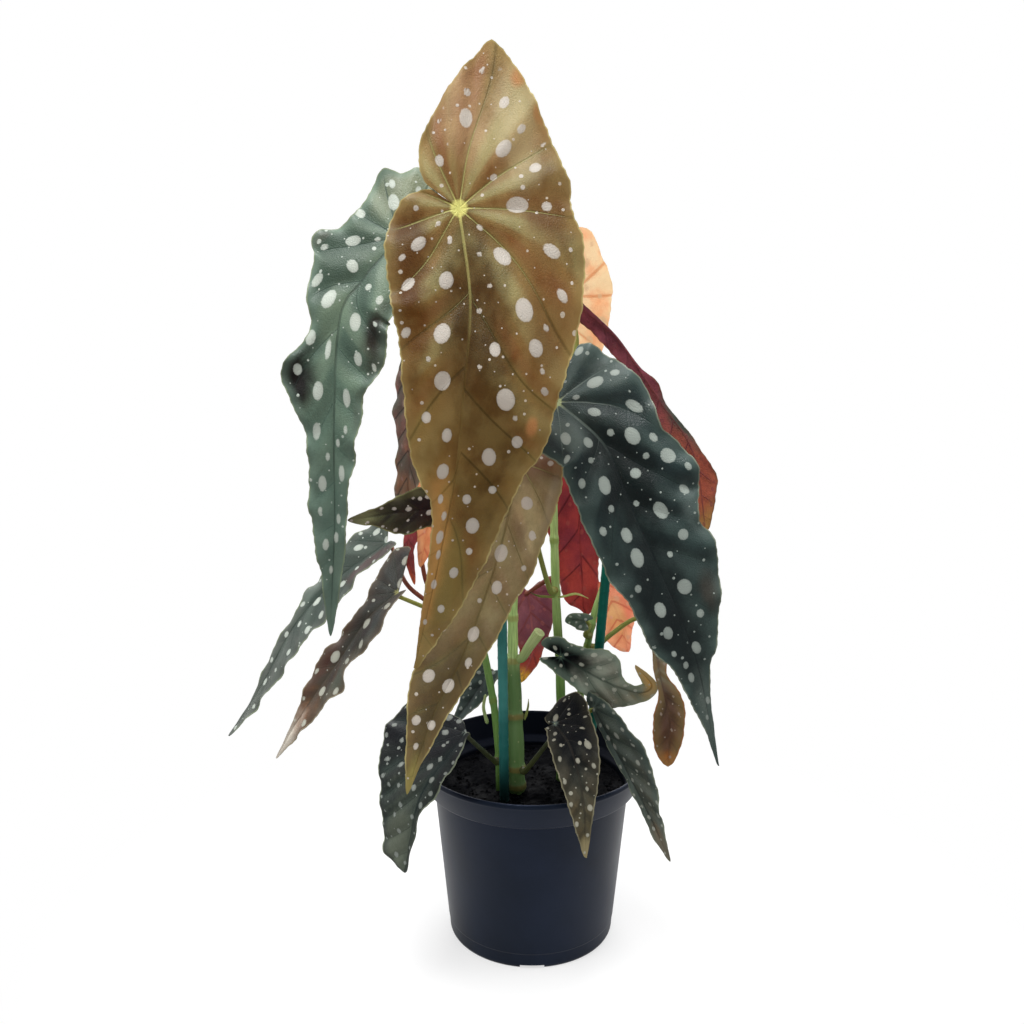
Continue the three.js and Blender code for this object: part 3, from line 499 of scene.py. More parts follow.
class LeafSurface:
    # a midrib and a frame that is carried along it without turning
    def __init__(self, midrib, side, fold=4, curl=-0.003):
        self.steps = midribSteps
        self.fold, self.curl = math.radians(fold), curl
        self.points, self.length = smoothCurve(midrib, self.steps)
        self.tangents = unit(np.gradient(self.points, axis=0))
        across, sides = np.array(side, float), []
        for tangent in self.tangents:
            across = unit(across - across.dot(tangent) * tangent)
            sides.append(across)
        self.sides = np.array(sides)

    def frameAt(self, a):
        place = np.clip(a, 0, self.length) / self.length * self.steps
        low = np.minimum(place.astype(int), self.steps - 1)
        share = (place - low)[:, None]
        rows = [grid[low] * (1 - share) + grid[low + 1] * share
                for grid in (self.points, self.tangents, self.sides)]
        tangent, across = unit(rows[1]), unit(rows[2])
        return rows[0], tangent, across, np.cross(tangent, across)

    def at(self, a, b, lift=0):
        a, b = np.atleast_1d(np.asarray(a, float)), np.atleast_1d(np.asarray(b, float))
        point, tangent, across, normal = self.frameAt(a)
        over = a - np.clip(a, 0, self.length)
        rise = np.abs(b) * math.sin(self.fold) + self.curl * b * b + lift
        return (point + tangent * over[:, None] + across * (b * math.cos(self.fold))[:, None]
                + normal * rise[:, None])


marginSteps = 1600  # places along an outline once it is smoothed
tipHalfWidth = 0.25  # mm, so that a tip isn't a single point
jointReach = 8.0  # how far in from the margin the joint counts as, in mm
notchTurn = 0.06  # radians left open between the two lobes
toothPitches = (2.1, 0.83)  # mm to a radian of the two waves that make the toothed margin
waveTurn = 6.28  # radians, one turn of the random waves


def halfRows(points, across, lobeRows, stationRows, mostTurn):
    # rows from the midrib out to the margin, round the joint from the notch and then on to the tip
    behind = np.nonzero(points[:, 0] <= 0)[0]
    split = int(behind[-1]) if len(behind) else 0
    rows, turn = [], math.pi / 2
    for k in range(lobeRows - 1, -1, -1) if split else ():
        x, y = points[round(split * k / lobeRows)]
        here = math.atan2(y * across, x) % (2 * math.pi)
        turn = min(max(here, turn + 0.002), mostTurn)
        reach = math.hypot(x, y)
        rows.insert(0, (0.0, reach * math.cos(turn), reach * math.sin(turn) * across))
    body = points[split:]
    rising = np.maximum.accumulate(body[:, 0])
    for a in np.linspace(0, points[-1, 0], stationRows + 1):
        b = max(np.interp(a, rising, body[:, 1]) * across, tipHalfWidth) * across
        rows.append((a, a, b))
    return rows, turn


def bladeGrid(outline, lobeRows, stationRows, rings, teeth, rng, notch=notchTurn):
    # flat places (along, across, in from the margin, share of the way out, way round, half width there)
    # and the upper faces
    margin, _ = smoothCurve(outline, marginSteps, spaced=False)
    tipAt = int(margin[:, 0].argmax())
    near, turn = halfRows(margin[:tipAt + 1], -1, lobeRows, stationRows, 2 * math.pi)
    far, _ = halfRows(margin[tipAt:][::-1], 1, lobeRows, stationRows, 2 * math.pi - notch - turn)
    places, faces, spine = [], [], {}
    for (start, _, one), (_, _, other) in zip(near[::-1], far[::-1]):
        if start not in spine:
            half = (abs(one) + abs(other)) / 2 if start else jointReach
            spine[start] = len(places)
            places.append((start, 0.0, half, 0.0, 0.0, half))
    phase = rng.uniform(0, 6)
    for across, rows in ((-1, near), (1, far)):
        lines, gone, last = [], 0.0, None
        for start, a, b in rows:
            if last:
                gone += math.hypot(a - last[0], b - last[1])
            last = (a, b)
            reach = math.hypot(a - start, b)
            broad, fine = (math.sin(gone / pitch + (i + 1) * phase) for i, pitch in enumerate(toothPitches))
            tooth = teeth * (broad + fine) / 2
            stretch = 1 + tooth * min(1, reach / 8) / max(reach, 1)
            line = [spine[start]]
            for r in range(1, rings + 1):
                share = r / rings
                reached = share * (1 + (stretch - 1) * share**4)
                line.append(len(places))
                places.append((start + (a - start) * reached, b * reached, reach * (1 - share), share,
                               gone * across, reach))
            lines.append(line)
        for one, two in zip(lines, lines[1:]):
            for r in range(rings):
                corners = [one[r], two[r], two[r + 1], one[r + 1]]
                corners = list(dict.fromkeys(corners))
                faces.append(corners if across > 0 else corners[::-1])
    for index in spine.values():  # a midrib point is as far in as its neighbours in the first ring
        places[index] = places[index][:2] + (0.0,) + places[index][3:]
    grid = np.array(places)
    first = {one[0]: grid[one[1], 2] * rings / (rings - 1) for one in lines} if rings > 1 else {}
    for index, inward in first.items():
        grid[index, 2] = max(grid[index, 2], inward)
    return grid, faces


def waves(x, y, rng, count=5):
    # a gentle random surface, about -1 to 1
    total = np.zeros_like(x)
    for _ in range(count):
        turn, phase, stretch = rng.uniform(0, waveTurn), rng.uniform(0, waveTurn), rng.uniform(0.6, 1.6)
        total += np.sin((x * math.cos(turn) + y * math.sin(turn)) * stretch * waveTurn + phase)
    return total / count**0.5 / 1.2


veinSet = {"slope": 1.2, "gap": 0.72, "wobble": 0.07}


def veinWaves(a, b, spacing, rng):
    # runs through zero at each side vein: its size in mm near the vein, as a share of the way to the next,
    # and which side of the vein a place is on, 1 beyond it and -1 before it
    reach = np.hypot(a, b)
    turn = np.arctan2(np.abs(b), a)
    lean = rng.uniform(0, 6)
    wander = np.sin(reach / 22 + lean + 1.7 * np.sign(b)) * np.minimum(reach / 30, 1)
    turn = turn + veinSet["wobble"] * wander
    along, side = reach * np.cos(turn), reach * np.sin(turn)
    first = math.atan2(1, veinSet["slope"])
    sideShare = np.sin(math.pi * (along - veinSet["slope"] * side) / spacing)
    fanShare = -np.sin(math.pi * (turn - first) / veinSet["gap"])
    inBody = turn < first
    share = np.where(inBody, sideShare, fanShare)
    size = np.where(inBody, spacing / math.pi, veinSet["gap"] * reach / math.pi)
    count = np.where(inBody, (along - veinSet["slope"] * side) / spacing, (first - turn) / veinSet["gap"])
    return share * size, share, np.sin(2 * math.pi * (count - np.floor(count)) ** 1.5)


# in mm: the half width that has full relief, where pillows begin to rise and to flatten and over what way,
# the plain strip beside the midrib, and the groove's depth, half width and reach
reliefSet = {"fullWidth": 9, "rise": (3, 22), "flatten": (55, 90), "strip": 4.5, "groove": (0.45, 1.8, 150)}


def bladeRelief(grid, leaf, share, rng):
    # how far the sheet stands off its plain surface, in mm
    a, b, inward, out, gone, width = grid.T
    reach = np.hypot(a, b)
    narrow = np.clip(width / reliefSet["fullWidth"], 0.15, 1)
    pillow = leaf.get("pillow", 1.3) * (np.sqrt(share**2 + 0.015) - 0.5)
    start, over = reliefSet["rise"]
    pillow = pillow * np.clip((reach - start) / over, 0, 1) * np.minimum(inward / 5 + 0.3, 1) * narrow
    start, over = reliefSet["flatten"]
    pillow = pillow * (1 - leaf.get("flatten", 0.5) * np.clip((reach - start) / over, 0, 1))
    pillow = pillow * (1 - 0.75 * np.exp(-((b / reliefSet["strip"]) ** 2)) * np.clip(a / 10, 0, 1))
    depth, half, ends = reliefSet["groove"]
    groove = -depth * np.exp(-(b / half) ** 2) * np.clip((a - 2) / 8, 0, 1) * np.exp(-a / ends)
    sway = leaf.get("sway", 1.2) * waves(a / 95, b / 70, rng) * np.minimum(reach / 30, 1)
    length, phase = leaf.get("rufflePitch", 24), rng.uniform(0, 6)
    ruffle = np.sin(gone / length * waveTurn + phase) + 0.6 * np.sin(gone / length * 10.7 + 2 * phase)
    ruffle = leaf.get("ruffle", 1.0) * ruffle * out**3 * np.minimum(reach / 25, 1) * narrow
    lap = leaf.get("lap", 0) * np.sign(gone) * np.exp(-np.abs(gone) / 14) * np.minimum(reach / 8, 1) * out
    return pillow + groove + sway + ruffle + lap


farFromSpots = 30.0  # mm, where a blade has no large spot near


def spotDistance(grid, spots):
    # mm out from the edge of the nearest large spot, below 0 inside it; a spot points away from the joint
    nearest = np.full(len(grid), farFromSpots)
    for a, b, along, across in spots:
        turn = math.atan2(b, a)
        slant = math.sin(2 * turn) ** 2
        long = (along * math.cos(turn) ** 2 + across * math.sin(turn) ** 2) * (1 + 0.25 * slant)
        wide = (along * math.sin(turn) ** 2 + across * math.cos(turn) ** 2) * (1 - 0.2 * slant)
        x, y = grid[:, 0] - a, grid[:, 1] - b
        off = np.hypot((x * math.cos(turn) + y * math.sin(turn)) / long,
                       (y * math.cos(turn) - x * math.sin(turn)) / wide)
        nearest = np.minimum(nearest, (off - 1) * min(long, wide))
    return nearest


spotTries = 900  # places tried for the large spots of one blade


def scatterSpots(grid, leaf, rng):
    # large spots kept apart from each other, smaller towards the margin and the tip
    spacing, biggest = leaf.get("spotGap", 9), leaf.get("spotSize", 2.2)
    length = grid[:, 0].max()
    spots = []
    for _ in range(spotTries):
        a, b, inward = grid[rng.randrange(len(grid)), :3]
        size = biggest * rng.uniform(0.45, 1.0) * (1 - 0.35 * max(a, 0) / length)
        size = min(size, inward * 0.55)
        if size < 0.5 or abs(b) < size * 0.6:
            continue
        if all(math.hypot(a - s[0], b - s[1]) > spacing * rng.uniform(0.8, 1.1) for s in spots):
            spots.append((a, b, size * rng.uniform(1.1, 1.5), size))
    return spots


def addPiece(name, vertices, faces, node, materials, faceMaterial=None, sharp=50):
    # a mesh in metres from vertices in mm; it rides on the plant and stands for its node
    mesh = bpy.data.meshes.new(name)
    mesh.from_pydata((np.asarray(vertices) * mm).tolist(), [], faces)
    for material in materials:
        mesh.materials.append(material)
    if faceMaterial is not None:
        mesh.polygons.foreach_set("material_index", faceMaterial)
    mesh.polygons.foreach_set("use_smooth", [True] * len(mesh.polygons))
    mesh.set_sharp_from_angle(angle=math.radians(sharp))
    mesh.validate()
    piece = bpy.data.objects.new(name, mesh)
    bpy.context.scene.collection.objects.link(piece)
    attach(piece, "root")
    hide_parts(node)
    return piece


def setVectors(piece, name, rows):
    rows = np.ascontiguousarray(rows, np.float32)
    piece.data.attributes.new(name, "FLOAT_VECTOR", "POINT").data.foreach_set("vector", rows.ravel())


def addBlade(name, node, surface, outline, leaf, materials, seed):
    rng = random.Random(seed)
    size = leaf.get("mesh", {"lobeRows": 22, "stationRows": 80, "rings": 14})
    grid, upper = bladeGrid(
        outline, teeth=leaf.get("teeth", 0.35), rng=rng, notch=leaf.get("notch", notchTurn), **size,
    )
    a, b, inward, out, _, _ = grid.T
    wave, share, pleat = veinWaves(a, b, leaf.get("veinGap", 20), rng)
    lift = bladeRelief(grid, leaf, share, rng)
    spots = leaf.get("spots") or scatterSpots(grid, leaf, rng)
    half = leaf.get("thickness", 0.55) / 2 * (1 - 0.45 * out**4)
    top, bottom = surface.at(a, b, lift + half), surface.at(a, b, lift - half)
    count = len(grid)
    edges = {(one, two) for face in upper for one, two in zip(face, face[1:] + face[:1])}
    walls = [[two, one, one + count, two + count] for one, two in sorted(edges) if (two, one) not in edges]
    faces = upper + [[i + count for i in face[::-1]] for face in upper] + walls
    kinds = [0] * len(upper) + [1] * len(upper) + [0] * len(walls)
    piece = addPiece(name, np.vstack([top, bottom]), faces, node, materials, kinds)
    place = np.stack([a, b, inward], 1)
    marks = np.stack([spotDistance(grid, spots), wave, pleat], 1)
    setVectors(piece, "place", np.vstack([place, place]))
    setVectors(piece, "marks", np.vstack([marks, marks]))


heroMesh = {"lobeRows": 76, "stationRows": 170, "rings": 32}
midMesh = {"lobeRows": 26, "stationRows": 110, "rings": 18}
smallMesh = {"lobeRows": 16, "stationRows": 56, "rings": 10}
leafPlan = {
    "front": {
        "midrib": [(-35, -105, 416), (-30, -116, 376), (-33, -118, 336), (-37, -113, 300), (-46, -104, 255),
                   (-60, -92, 197)],
        "side": (1, 0, 0), "fold": 6, "mesh": heroMesh, "upper": "bronze", "under": "rust",
        "outline": [(-1, -1.4), (-6, -7), (-10, -12.5), (-9, -20), (-4, -27.5), (12, -35), (43, -35),
                    (67, -30), (86, -27), (117, -21), (138, -9), (167, -5), (205, -2), (228, 1), (218, 5),
                    (198, 12), (177, 18), (156, 23), (122, 30), (103, 39), (79, 43), (49, 49), (23, 53),
                    (7, 50), (-5, 51), (-19, 47), (-41, 41), (-59, 35), (-73, 26), (-74, 21), (-63, 9),
                    (-49, -3), (-37, -10.5), (-27, -15), (-14, -14), (-6, -6.5), (-1, -1.2)],
        "spots": [(-62, 18, 1.7, 1.6), (-62, 26, 1.1, 1.1), (-52, 10, 1.9, 1.8), (-46, 26, 2.6, 2.6),
                  (-40, 8, 4.4, 2.9), (-40, -4, 1.2, 1.2), (-24, 23, 3.2, 4), (-32, 32, 1.8, 2.2),
                  (-22, -6, 2.5, 2), (-25, 41, 1.2, 1.2), (-14, 36, 2.6, 2.6), (-12, 17, 1.5, 1.5),
                  (2, 26, 3.6, 4.9), (4, 39, 2.5, 2.3), (14, -20, 2.7, 3.5), (6, -10, 1.2, 1.2),
                  (14, -6, 1.5, 1.1), (10, 8, 1.5, 1.4), (22, 6, 1.2, 1.2), (24, 16, 3.7, 4),
                  (25, 38, 3, 3.4), (-2, -19, 1.2, 1.2), (19, -28, 1.4, 1.7), (32, -27, 3.7, 2.5),
                  (32, -10, 3.9, 3.3), (41, 41, 2, 2.5), (46, 24, 3.8, 4.4), (36, 9, 1.1, 1.2),
                  (46, 4, 1.3, 1.3),
                  (57, -12, 4.6, 3.7), (58, -28, 2.6, 2.1), (62, 12, 3, 2.5), (60, 30, 3.1, 3.5),
                  (52, 34, 1.2, 1.5), (69, -17, 1.2, 1.2), (78, -10, 4.2, 3.6), (70, 6, 1.1, 1.1),
                  (83, 19, 4.8, 4.2), (69, 34, 1.3, 1.3), (78, 36, 2, 1.8), (95, -16, 2.5, 2.2),
                  (102, -6, 3.3, 2.2), (102, 26, 2.7, 2.6), (91, 24, 1.2, 1.2), (110, 14, 4.3, 3.2),
                  (120, -6, 3.9, 2.7), (132, 7, 2.5, 2), (126, 18, 1.8, 1.9), (145, 12, 4, 3.1),
                  (134, -5, 2.3, 1.2), (142, -2, 2.3, 1.1), (153, -2, 3.4, 1.6), (170, 8, 2.8, 2.1),
                  (158, 13, 1.7, 1.6), (162, -1, 2.3, 1), (178, 0, 2.5, 1.3), (190, 6, 2.2, 1.7),
                  (200, 0, 1.6, 1)],
        "look": {"gloss": 0.25,
                 # the washes at 54, 2 and 106, 13 are painted shade along the middle; those at -45, 5 and
                 # -33, 30 are painted light on the upper lobes
                 "washes": [(54, 2, 56, 18, "#14140a", 0.95), (54, -29, 54, 13, "#4c2804", 0.95),
                            (172, -5, 54, 9, "#eca860", 0.85), (48, 34, 40, 13, "#664424", 0.7),
                            (106, 13, 50, 18, "#2c2810", 0.9), (95, -8, 30, 9, "#54401e", 0.6),
                            (176, 6, 34, 7, "#8c8048", 0.5), (10, -25, 22, 12, "#4c3018", 0.85),
                            (5, 41, 26, 14, "#54361a", 0.85), (-45, 5, 26, 14, "#c09c78", 0.5),
                            (-33, 30, 32, 12, "#bcb288", 0.6), (-57, 34, 5, 4, "#cc6c3a", 0.7),
                            (-38, 41, 5, 3, "#cc6c3a", 0.7), (95, 32, 5, 3, "#cc8a58", 0.8),
                            (214, 2, 18, 6, "#b8a468", 0.6)]},
        "veinGap": 38, "pillow": 3.4, "flatten": 0.65, "sway": 2.0, "ruffle": 1.3, "rufflePitch": 30,
        "teeth": 0.5, "lap": 0.8, "notch": -0.45,
        "cane": "cane_main", "from": 366, "via": [(-26, -60, 396)],
    },
    "left": {
        "midrib": [(-66, -55, 405), (-84, -64, 385), (-95, -70, 366), (-98, -76, 315), (-101, -72, 257),
                   (-107, -60, 201)],
        "side": (1, 0, 0), "mesh": heroMesh, "upper": "silver", "under": "burgundy",
        "outline": [(-3, -1), (-22, 0), (-36, -6), (-35, -17), (-28, -22), (-21, -31), (-3, -27),
                    (13, -27), (24, -34), (38, -24), (57, -14), (77, -28), (90, -23), (112, -14),
                    (141, -13), (162, -10), (182, -6), (218, 0), (177, 5), (135, 7), (124, 10),
                    (109, 11), (98, 14), (88, 14), (70, 24), (35, 24), (10, 22), (-6, 19), (-14, 10),
                    (-3, 1)],
        "spots": [(-19, -22, 1.9, 2.1), (-12, -15, 3.2, 3.6), (3, -24, 2.5, 2.6), (16, -17, 2.8, 3.2),
                  (26, -26, 1.3, 1.9), (26, -8, 2.2, 3.7), (40, -18, 2, 2.4), (44, -8, 3.8, 3.2),
                  (30, 5, 1.6, 1.8), (32, 14, 1.8, 1.9), (51, 8, 5.2, 2.6), (61, -13, 3.4, 2.5),
                  (66, -4, 4.7, 1.4), (70, 11, 3.4, 2), (76, -19, 2.6, 2.3), (86, -8, 4.6, 2.5),
                  (89, 6, 4.3, 1.8), (106, -9, 4.2, 2), (126, 4, 4, 1.5), (132, -6, 4.1, 2),
                  (164, -4, 3, 1.5), (111, 2, 2, 1), (118, -3, 2, 1), (104, 6, 2, 1), (50, 18, 2, 1),
                  (74, 19, 2, 1), (160, 1, 2.7, 1.1), (150, 2, 2.6, 1), (-25, -10, 1.6, 1.4),
                  (10, 12, 1.8, 1.6), (8, -8, 1.4, 1.2), (146, -7, 2, 1), (178, -1, 2.2, 0.9)],
        "look": {"base": "#768870", "tip": "#70897c", "starShare": 0.03,
                 # the washes at 81, -22 and 58, 21 are painted shade in the folds; the one at -20, -15 is
                 # painted light on the top lobe
                 "washes": [(30, -15, 32, 17, "#485c4e", 0.85), (81, -22, 24, 14, "#0a0c0c", 1.0),
                            (58, 21, 30, 9, "#201c18", 0.95), (22, -32, 10, 5, "#4c463c", 0.8),
                            (98, 13, 10, 4, "#3f3a32", 0.6), (-20, -15, 20, 14, "#94997a", 0.6),
                            (50, -4, 14, 8, "#8fa488", 0.4)]},
        "veinGap": 30, "pillow": 2.4, "flatten": 0.6, "sway": 2.2, "ruffle": 1.5, "rufflePitch": 26,
        "cane": "cane_main", "from": 345, "via": [(-40, -36, 388)],
    },
    "low": {
        "midrib": [(-8, -56, 294), (-15, -72, 262), (-24, -78, 232), (-38, -84, 196), (-52, -88, 168),
                   (-65, -90, 128)],
        "side": (1, 0, 0), "fold": 6, "mesh": heroMesh, "upper": "bronze", "under": "rust",
        "look": {"base": "#7c5448", "middle": "#ccb88c", "tip": "#655c44", "deep": "#4a3c2c",
                 "rim": "#7a6844", "spot": "#dcd4c8", "vein": "#5a4a28", "thin": 0.2, "patchAmount": 0.3,
                 "litPleatAmount": 0.25, "shadedPleatAmount": 0.35, "dark": "#5c4434", "zones": (-0.15, 0.15, 0.7),
                 "starShare": 0.02,
                 "washes": [(-6, 10, 16, 16, "#80504a", 0.6), (174, -1, 14, 5, "#b0ac60", 0.8),
                            (126, 2, 36, 12, "#3c3828", 0.75), (20, 21, 20, 4, "#c8bca8", 0.4)]},
        "outline": [(-2, -3), (-14, -8), (-28, -14), (-30, -26), (-14, -34), (10, -35), (38, -32),
                    (66, -28), (95, -23), (127, -18), (142, -12), (167, -5), (181, 0), (165, 2),
                    (151, 5), (124, 8), (105, 10), (87, 13), (69, 15), (55, 19), (40, 20), (20, 23),
                    (7, 24), (-5, 21), (-10, 13), (-3, 2)],
        "spots": [(-2, 16, 1.3, 1.5), (21, 8, 3.1, 3.3), (36, 14, 2.1, 1.9), (48, 1, 4.4, 3.2),
                  (52, 14, 1.3, 1.4), (65, 4, 3.4, 2.6), (74, -2, 1.2, 1.2), (91, 1, 3.9, 2.7),
                  (93, -15, 2.6, 2.5), (120, -11, 3.5, 3), (120, 0, 3.7, 2.8), (105, 4, 2.4, 1.7),
                  (142, -7, 2.5, 2.2), (142, 1, 2.6, 2), (30, -8, 3.4, 2.8), (40, -22, 3, 2.6),
                  (62, -14, 3.2, 2.6), (76, -22, 2.2, 2), (10, -18, 3, 2.8), (8, -4, 1.6, 1.5),
                  (155, -3, 1.8, 1.2)],
        "veinGap": 30, "pillow": 1.8, "sway": 1.5, "ruffle": 1.0, "rufflePitch": 24,
        "cane": "cane_centre", "from": 211, "via": [(5, -14, 231), (-3, -38, 268)],
    },
    "right": {
        "midrib": [(11, -60, 325), (22, -67, 317), (34, -73, 306), (43, -79, 287), (50, -82, 269),
                   (61, -83, 245), (82, -80, 195), (98, -70, 134)],
        "side": (1, 0, 0.3), "fold": 6, "mesh": heroMesh, "upper": "green", "under": "burgundy",
        "outline": [(-1, -2), (-7, -9), (-6, -20), (4, -27), (15, -26), (24, -24), (40, -26), (61, -26),
                    (85, -25), (97, -25), (109, -21), (136, -20), (153, -13), (173, -9), (198, -3),
                    (219, 0), (175, 3), (158, 7), (147, 13), (129, 22), (118, 27), (99, 32), (87, 29),
                    (72, 35), (59, 38), (44, 33), (36, 29), (24, 36), (5, 36), (-7, 35), (-13, 31),
                    (-11, 25), (-10, 16), (-2, 3)],
        "spots": [(-10, 28, 2.6, 2.5), (8, 20, 3.4, 3.9), (12, 30, 1.8, 2.1), (28, 24, 2.2, 3.1),
                  (18, 8, 3.1, 2.5), (36, 14, 3.2, 3.8), (30, 6, 1.5, 1.8), (17, -12, 2.6, 3),
                  (27, -6, 3.1, 2.3), (40, 23, 1.5, 2.4), (50, 26, 3.2, 4.4), (58, 33, 1.3, 2),
                  (52, 8, 2.6, 2.9), (52, -9, 4.5, 3), (47, -19, 2.4, 1.9), (46, 16, 1.3, 1.9),
                  (37, -10, 1.7, 1.5), (26, -20, 3, 1.9), (68, 28, 3, 2.3), (74, 13, 5, 3.2),
                  (64, -10, 1.8, 1.6), (78, -8, 3.6, 2.6), (72, -18, 1.9, 1.9), (90, -8, 4.8, 3.2),
                  (90, 18, 2.6, 2.9), (96, 8, 1.5, 1.5), (114, 8, 4.1, 3.6), (104, -14, 2, 1.8),
                  (119, -8, 4, 2.7), (132, -9, 3.6, 2.5), (130, 10, 2.1, 2), (146, 2, 3.4, 2.2),
                  (161, -5, 2.8, 1.5), (144, -10, 1.7, 1.3), (153, -6, 2.2, 1.4), (178, 1, 2.3, 1.1),
                  (2, -16, 1.8, 1.6), (6, 8, 1.5, 1.5), (66, 3, 1.6, 1.5), (188, -1, 1.6, 0.8)],
        "look": {"starShare": 0.03, "gloss": 0.35,
                 # the washes at 52, 4, 123, -6 and 20, -22 are painted shade; those at 4, 30, 16, -9 and 80,
                 # 29 are painted sheen near the joint and the edge
                 "washes": [(123, -6, 52, 15, "#141c1e", 0.85), (52, 4, 44, 16, "#081414", 0.9),
                            (20, -22, 26, 7, "#202828", 0.6), (4, 30, 20, 10, "#52605a", 0.5),
                            (16, -9, 14, 8, "#6c7a74", 0.6), (80, 29, 16, 7, "#6c7a76", 0.6),
                            (188, 0, 28, 8, "#78847c", 0.7), (124, 20, 14, 7, "#4f4238", 0.5)]},
        "veinGap": 30, "pillow": 2.6, "flatten": 0.7, "sway": 2.2, "ruffle": 1.4, "rufflePitch": 24,
        "cane": "cane_centre", "from": 300, "via": [],
    },
    "silver": {
        "midrib": [(-84, 10, 236), (-109, 10, 217), (-136, 8, 190), (-157, 5, 154), (-180, 0, 121)],
        "side": (0.45, -0.82, -0.36), "fold": 10, "mesh": midMesh, "upper": "silver", "under": "burgundy",
        "outline": [(-2, -3), (-5, -14), (10, -20), (25, -17), (45, -9), (56, -12), (66, -6), (89, -6),
                    (108, -5), (129, -1), (152, 0), (134, 8), (116, 11), (98, 16), (77, 18), (58, 20),
                    (39, 17), (19, 10), (-4, 8), (-3, 1)],
        "look": {"base": "#595f55", "middle": "#4e5852", "tip": "#686d66", "rim": "#686d66",
                 "starShare": 0.0, "litPleat": "#6c7c70", "patch": "#34423a", "beside": "#44544a",
                 "washes": [(10, 8, 26, 6, "#5c2c34", 0.8), (60, -8, 30, 5, "#8c9c90", 0.5)]},
        "spotGap": 11, "spotSize": 2.9, "veinGap": 26, "pillow": 1.2, "sway": 1.0, "ruffle": 1.0,
        "cane": "cane_left", "from": 186, "via": [(-58, -13, 206), (-72, -7, 217)],
    },
    "bronze": {
        "midrib": [(-74, -28, 217), (-89, -35, 205), (-108, -38, 179), (-126, -38, 152), (-143, -34, 122)],
        "side": (0.45, -0.82, -0.36), "fold": 10, "mesh": midMesh, "upper": "bronze", "under": "burgundy",
        "outline": [(-4, -3), (-22, -18), (-20, -24), (-10, -24), (2, -19), (17, -10), (39, -9),
                    (51, -12), (67, -11), (80, -7), (100, -2), (120, 0), (104, 6), (87, 11), (69, 14),
                    (57, 18), (48, 10), (25, 16), (12, 8), (-4, 3)],
        "look": {"base": "#25322f", "middle": "#272925", "tip": "#75502f", "deep": "#1f201e",
                 "rim": "#594b3d", "spot": "#b4b5a6", "margin": "#8f8468", "vein": "#3a3a2c",
                 "midrib": "#4a463a", "thin": 0.1, "beside": "#3c4034", "litPleat": "#36413e",
                 "dark": "#261c1b", "litPleatAmount": 0.4, "patchAmount": 0.35, "patch": "#3c2821",
                 "starShare": 0.0,
                 "washes": [(98, 0, 16, 9, "#8a5428", 0.7), (111, 0, 23, 12, "#ece4d4", 1.0),
                            (50, 12, 30, 7, "#50584a", 0.7), (60, -10, 44, 7, "#4a2418", 0.6)]},
        "spotGap": 12, "spotSize": 3.0, "veinGap": 28, "pillow": 1.1, "sway": 1.2, "ruffle": 0.9,
        "cane": "cane_left", "from": 196, "via": [],
    },
    "small": {
        "midrib": [(-46, -58, 271), (-66, -64, 270), (-95, -66, 266)],
        "side": (0, 0, -1), "mesh": smallMesh, "upper": "bronze", "under": "burgundy",
        "outline": [(-1, -2), (-8, -9), (4, -13), (12, -12), (22, -9), (32, -5), (50, 0), (36, 6), (24, 12),
                    (12, 10), (0, 8), (-7, 5), (-1, 1)],
        "look": {"base": "#201723", "middle": "#1c151c", "tip": "#575b38", "deep": "#110b13",
                 "rim": "#4a4634", "spot": "#ccc4ba", "beside": "#2c2824", "gloss": 0.25,
                 "margin": "#8a8a5c", "thin": 0.12, "patchAmount": 0.0, "litPleat": "#312b29",
                 "dark": "#120b14", "litPleatAmount": 0.4, "midrib": "#171314", "starShare": 0.0,
                 "washes": [(46, 0, 14, 6, "#a3a878", 0.8), (20, -9, 18, 3, "#6c6c44", 0.6)]},
        "spotGap": 6.5, "spotSize": 1.5, "veinGap": 14, "pillow": 1.2, "sway": 0.9, "ruffle": 1.2,
        "rufflePitch": 14, "cane": "cane_left", "from": 250, "via": [],
    },
    "edge": {
        "midrib": [(-62, -34, 342), (-64, -34, 315), (-67, -32, 272), (-68, -31, 256)],
        "side": (0.6, -0.8, 0), "mesh": smallMesh, "upper": "silver", "under": "wine",
        "outline": [(-1, -2), (-7, -9), (0, -13), (14, -17), (32, -16), (50, -12), (64, -15), (74, -13),
                    (82, -4), (85, 0), (78, 8), (62, 12), (42, 13), (16, 14), (-6, 13), (-15, 8), (-11, 3),
                    (-2, 0)],
        "look": {"starShare": 0.0, "base": "#c4d4c4", "middle": "#b0c0b0", "tip": "#94a898", "thin": 0.75,
                 "glow": "#e4f4e0", "glowTip": "#c8e0c8", "glowDeep": "#b0c8b0", "patch": "#8c9c8c",
                 "deep": "#7c8c7c"},
        "spotGap": 8, "spotSize": 1.7, "veinGap": 16, "pillow": 1.1, "sway": 0.9,
        "cane": "cane_left", "from": 322, "via": [],
    },
    "shade": {
        "midrib": [(25, 15, 372), (48, 14, 352), (72, 8, 318), (90, 0, 290), (98, -5, 246)],
        "side": (-0.6, 0.3, -0.8), "fold": 0, "mesh": midMesh, "upper": "silver", "under": "wine",
        "outline": [(-1, -1), (-7, -3), (6, -2), (24, -1), (49, -1), (63, -5), (75, -2), (95, -3),
                    (108, -5), (122, -10), (143, -5), (152, 0), (140, 5), (116, 12), (92, 14), (72, 11),
                    (54, 7), (30, 8), (8, 7), (-6, 4), (-1, 1)],
        "underLook": {"base": "#c06c80", "tip": "#e07860", "glow": "#f47480", "glowTip": "#ffb080",
                      "glowDeep": "#c45c68",
                      "washes": [(88, -4, 20, 6, "#62746a", 0.95), (150, -3, 16, 8, "#d8a060", 0.8)],
                      "glowWashes": [(88, -4, 20, 6, "#3c5044", 0.95), (120, 4, 26, 12, "#ff8060", 0.8),
                                     (150, -3, 14, 8, "#ffd890", 0.9)]},
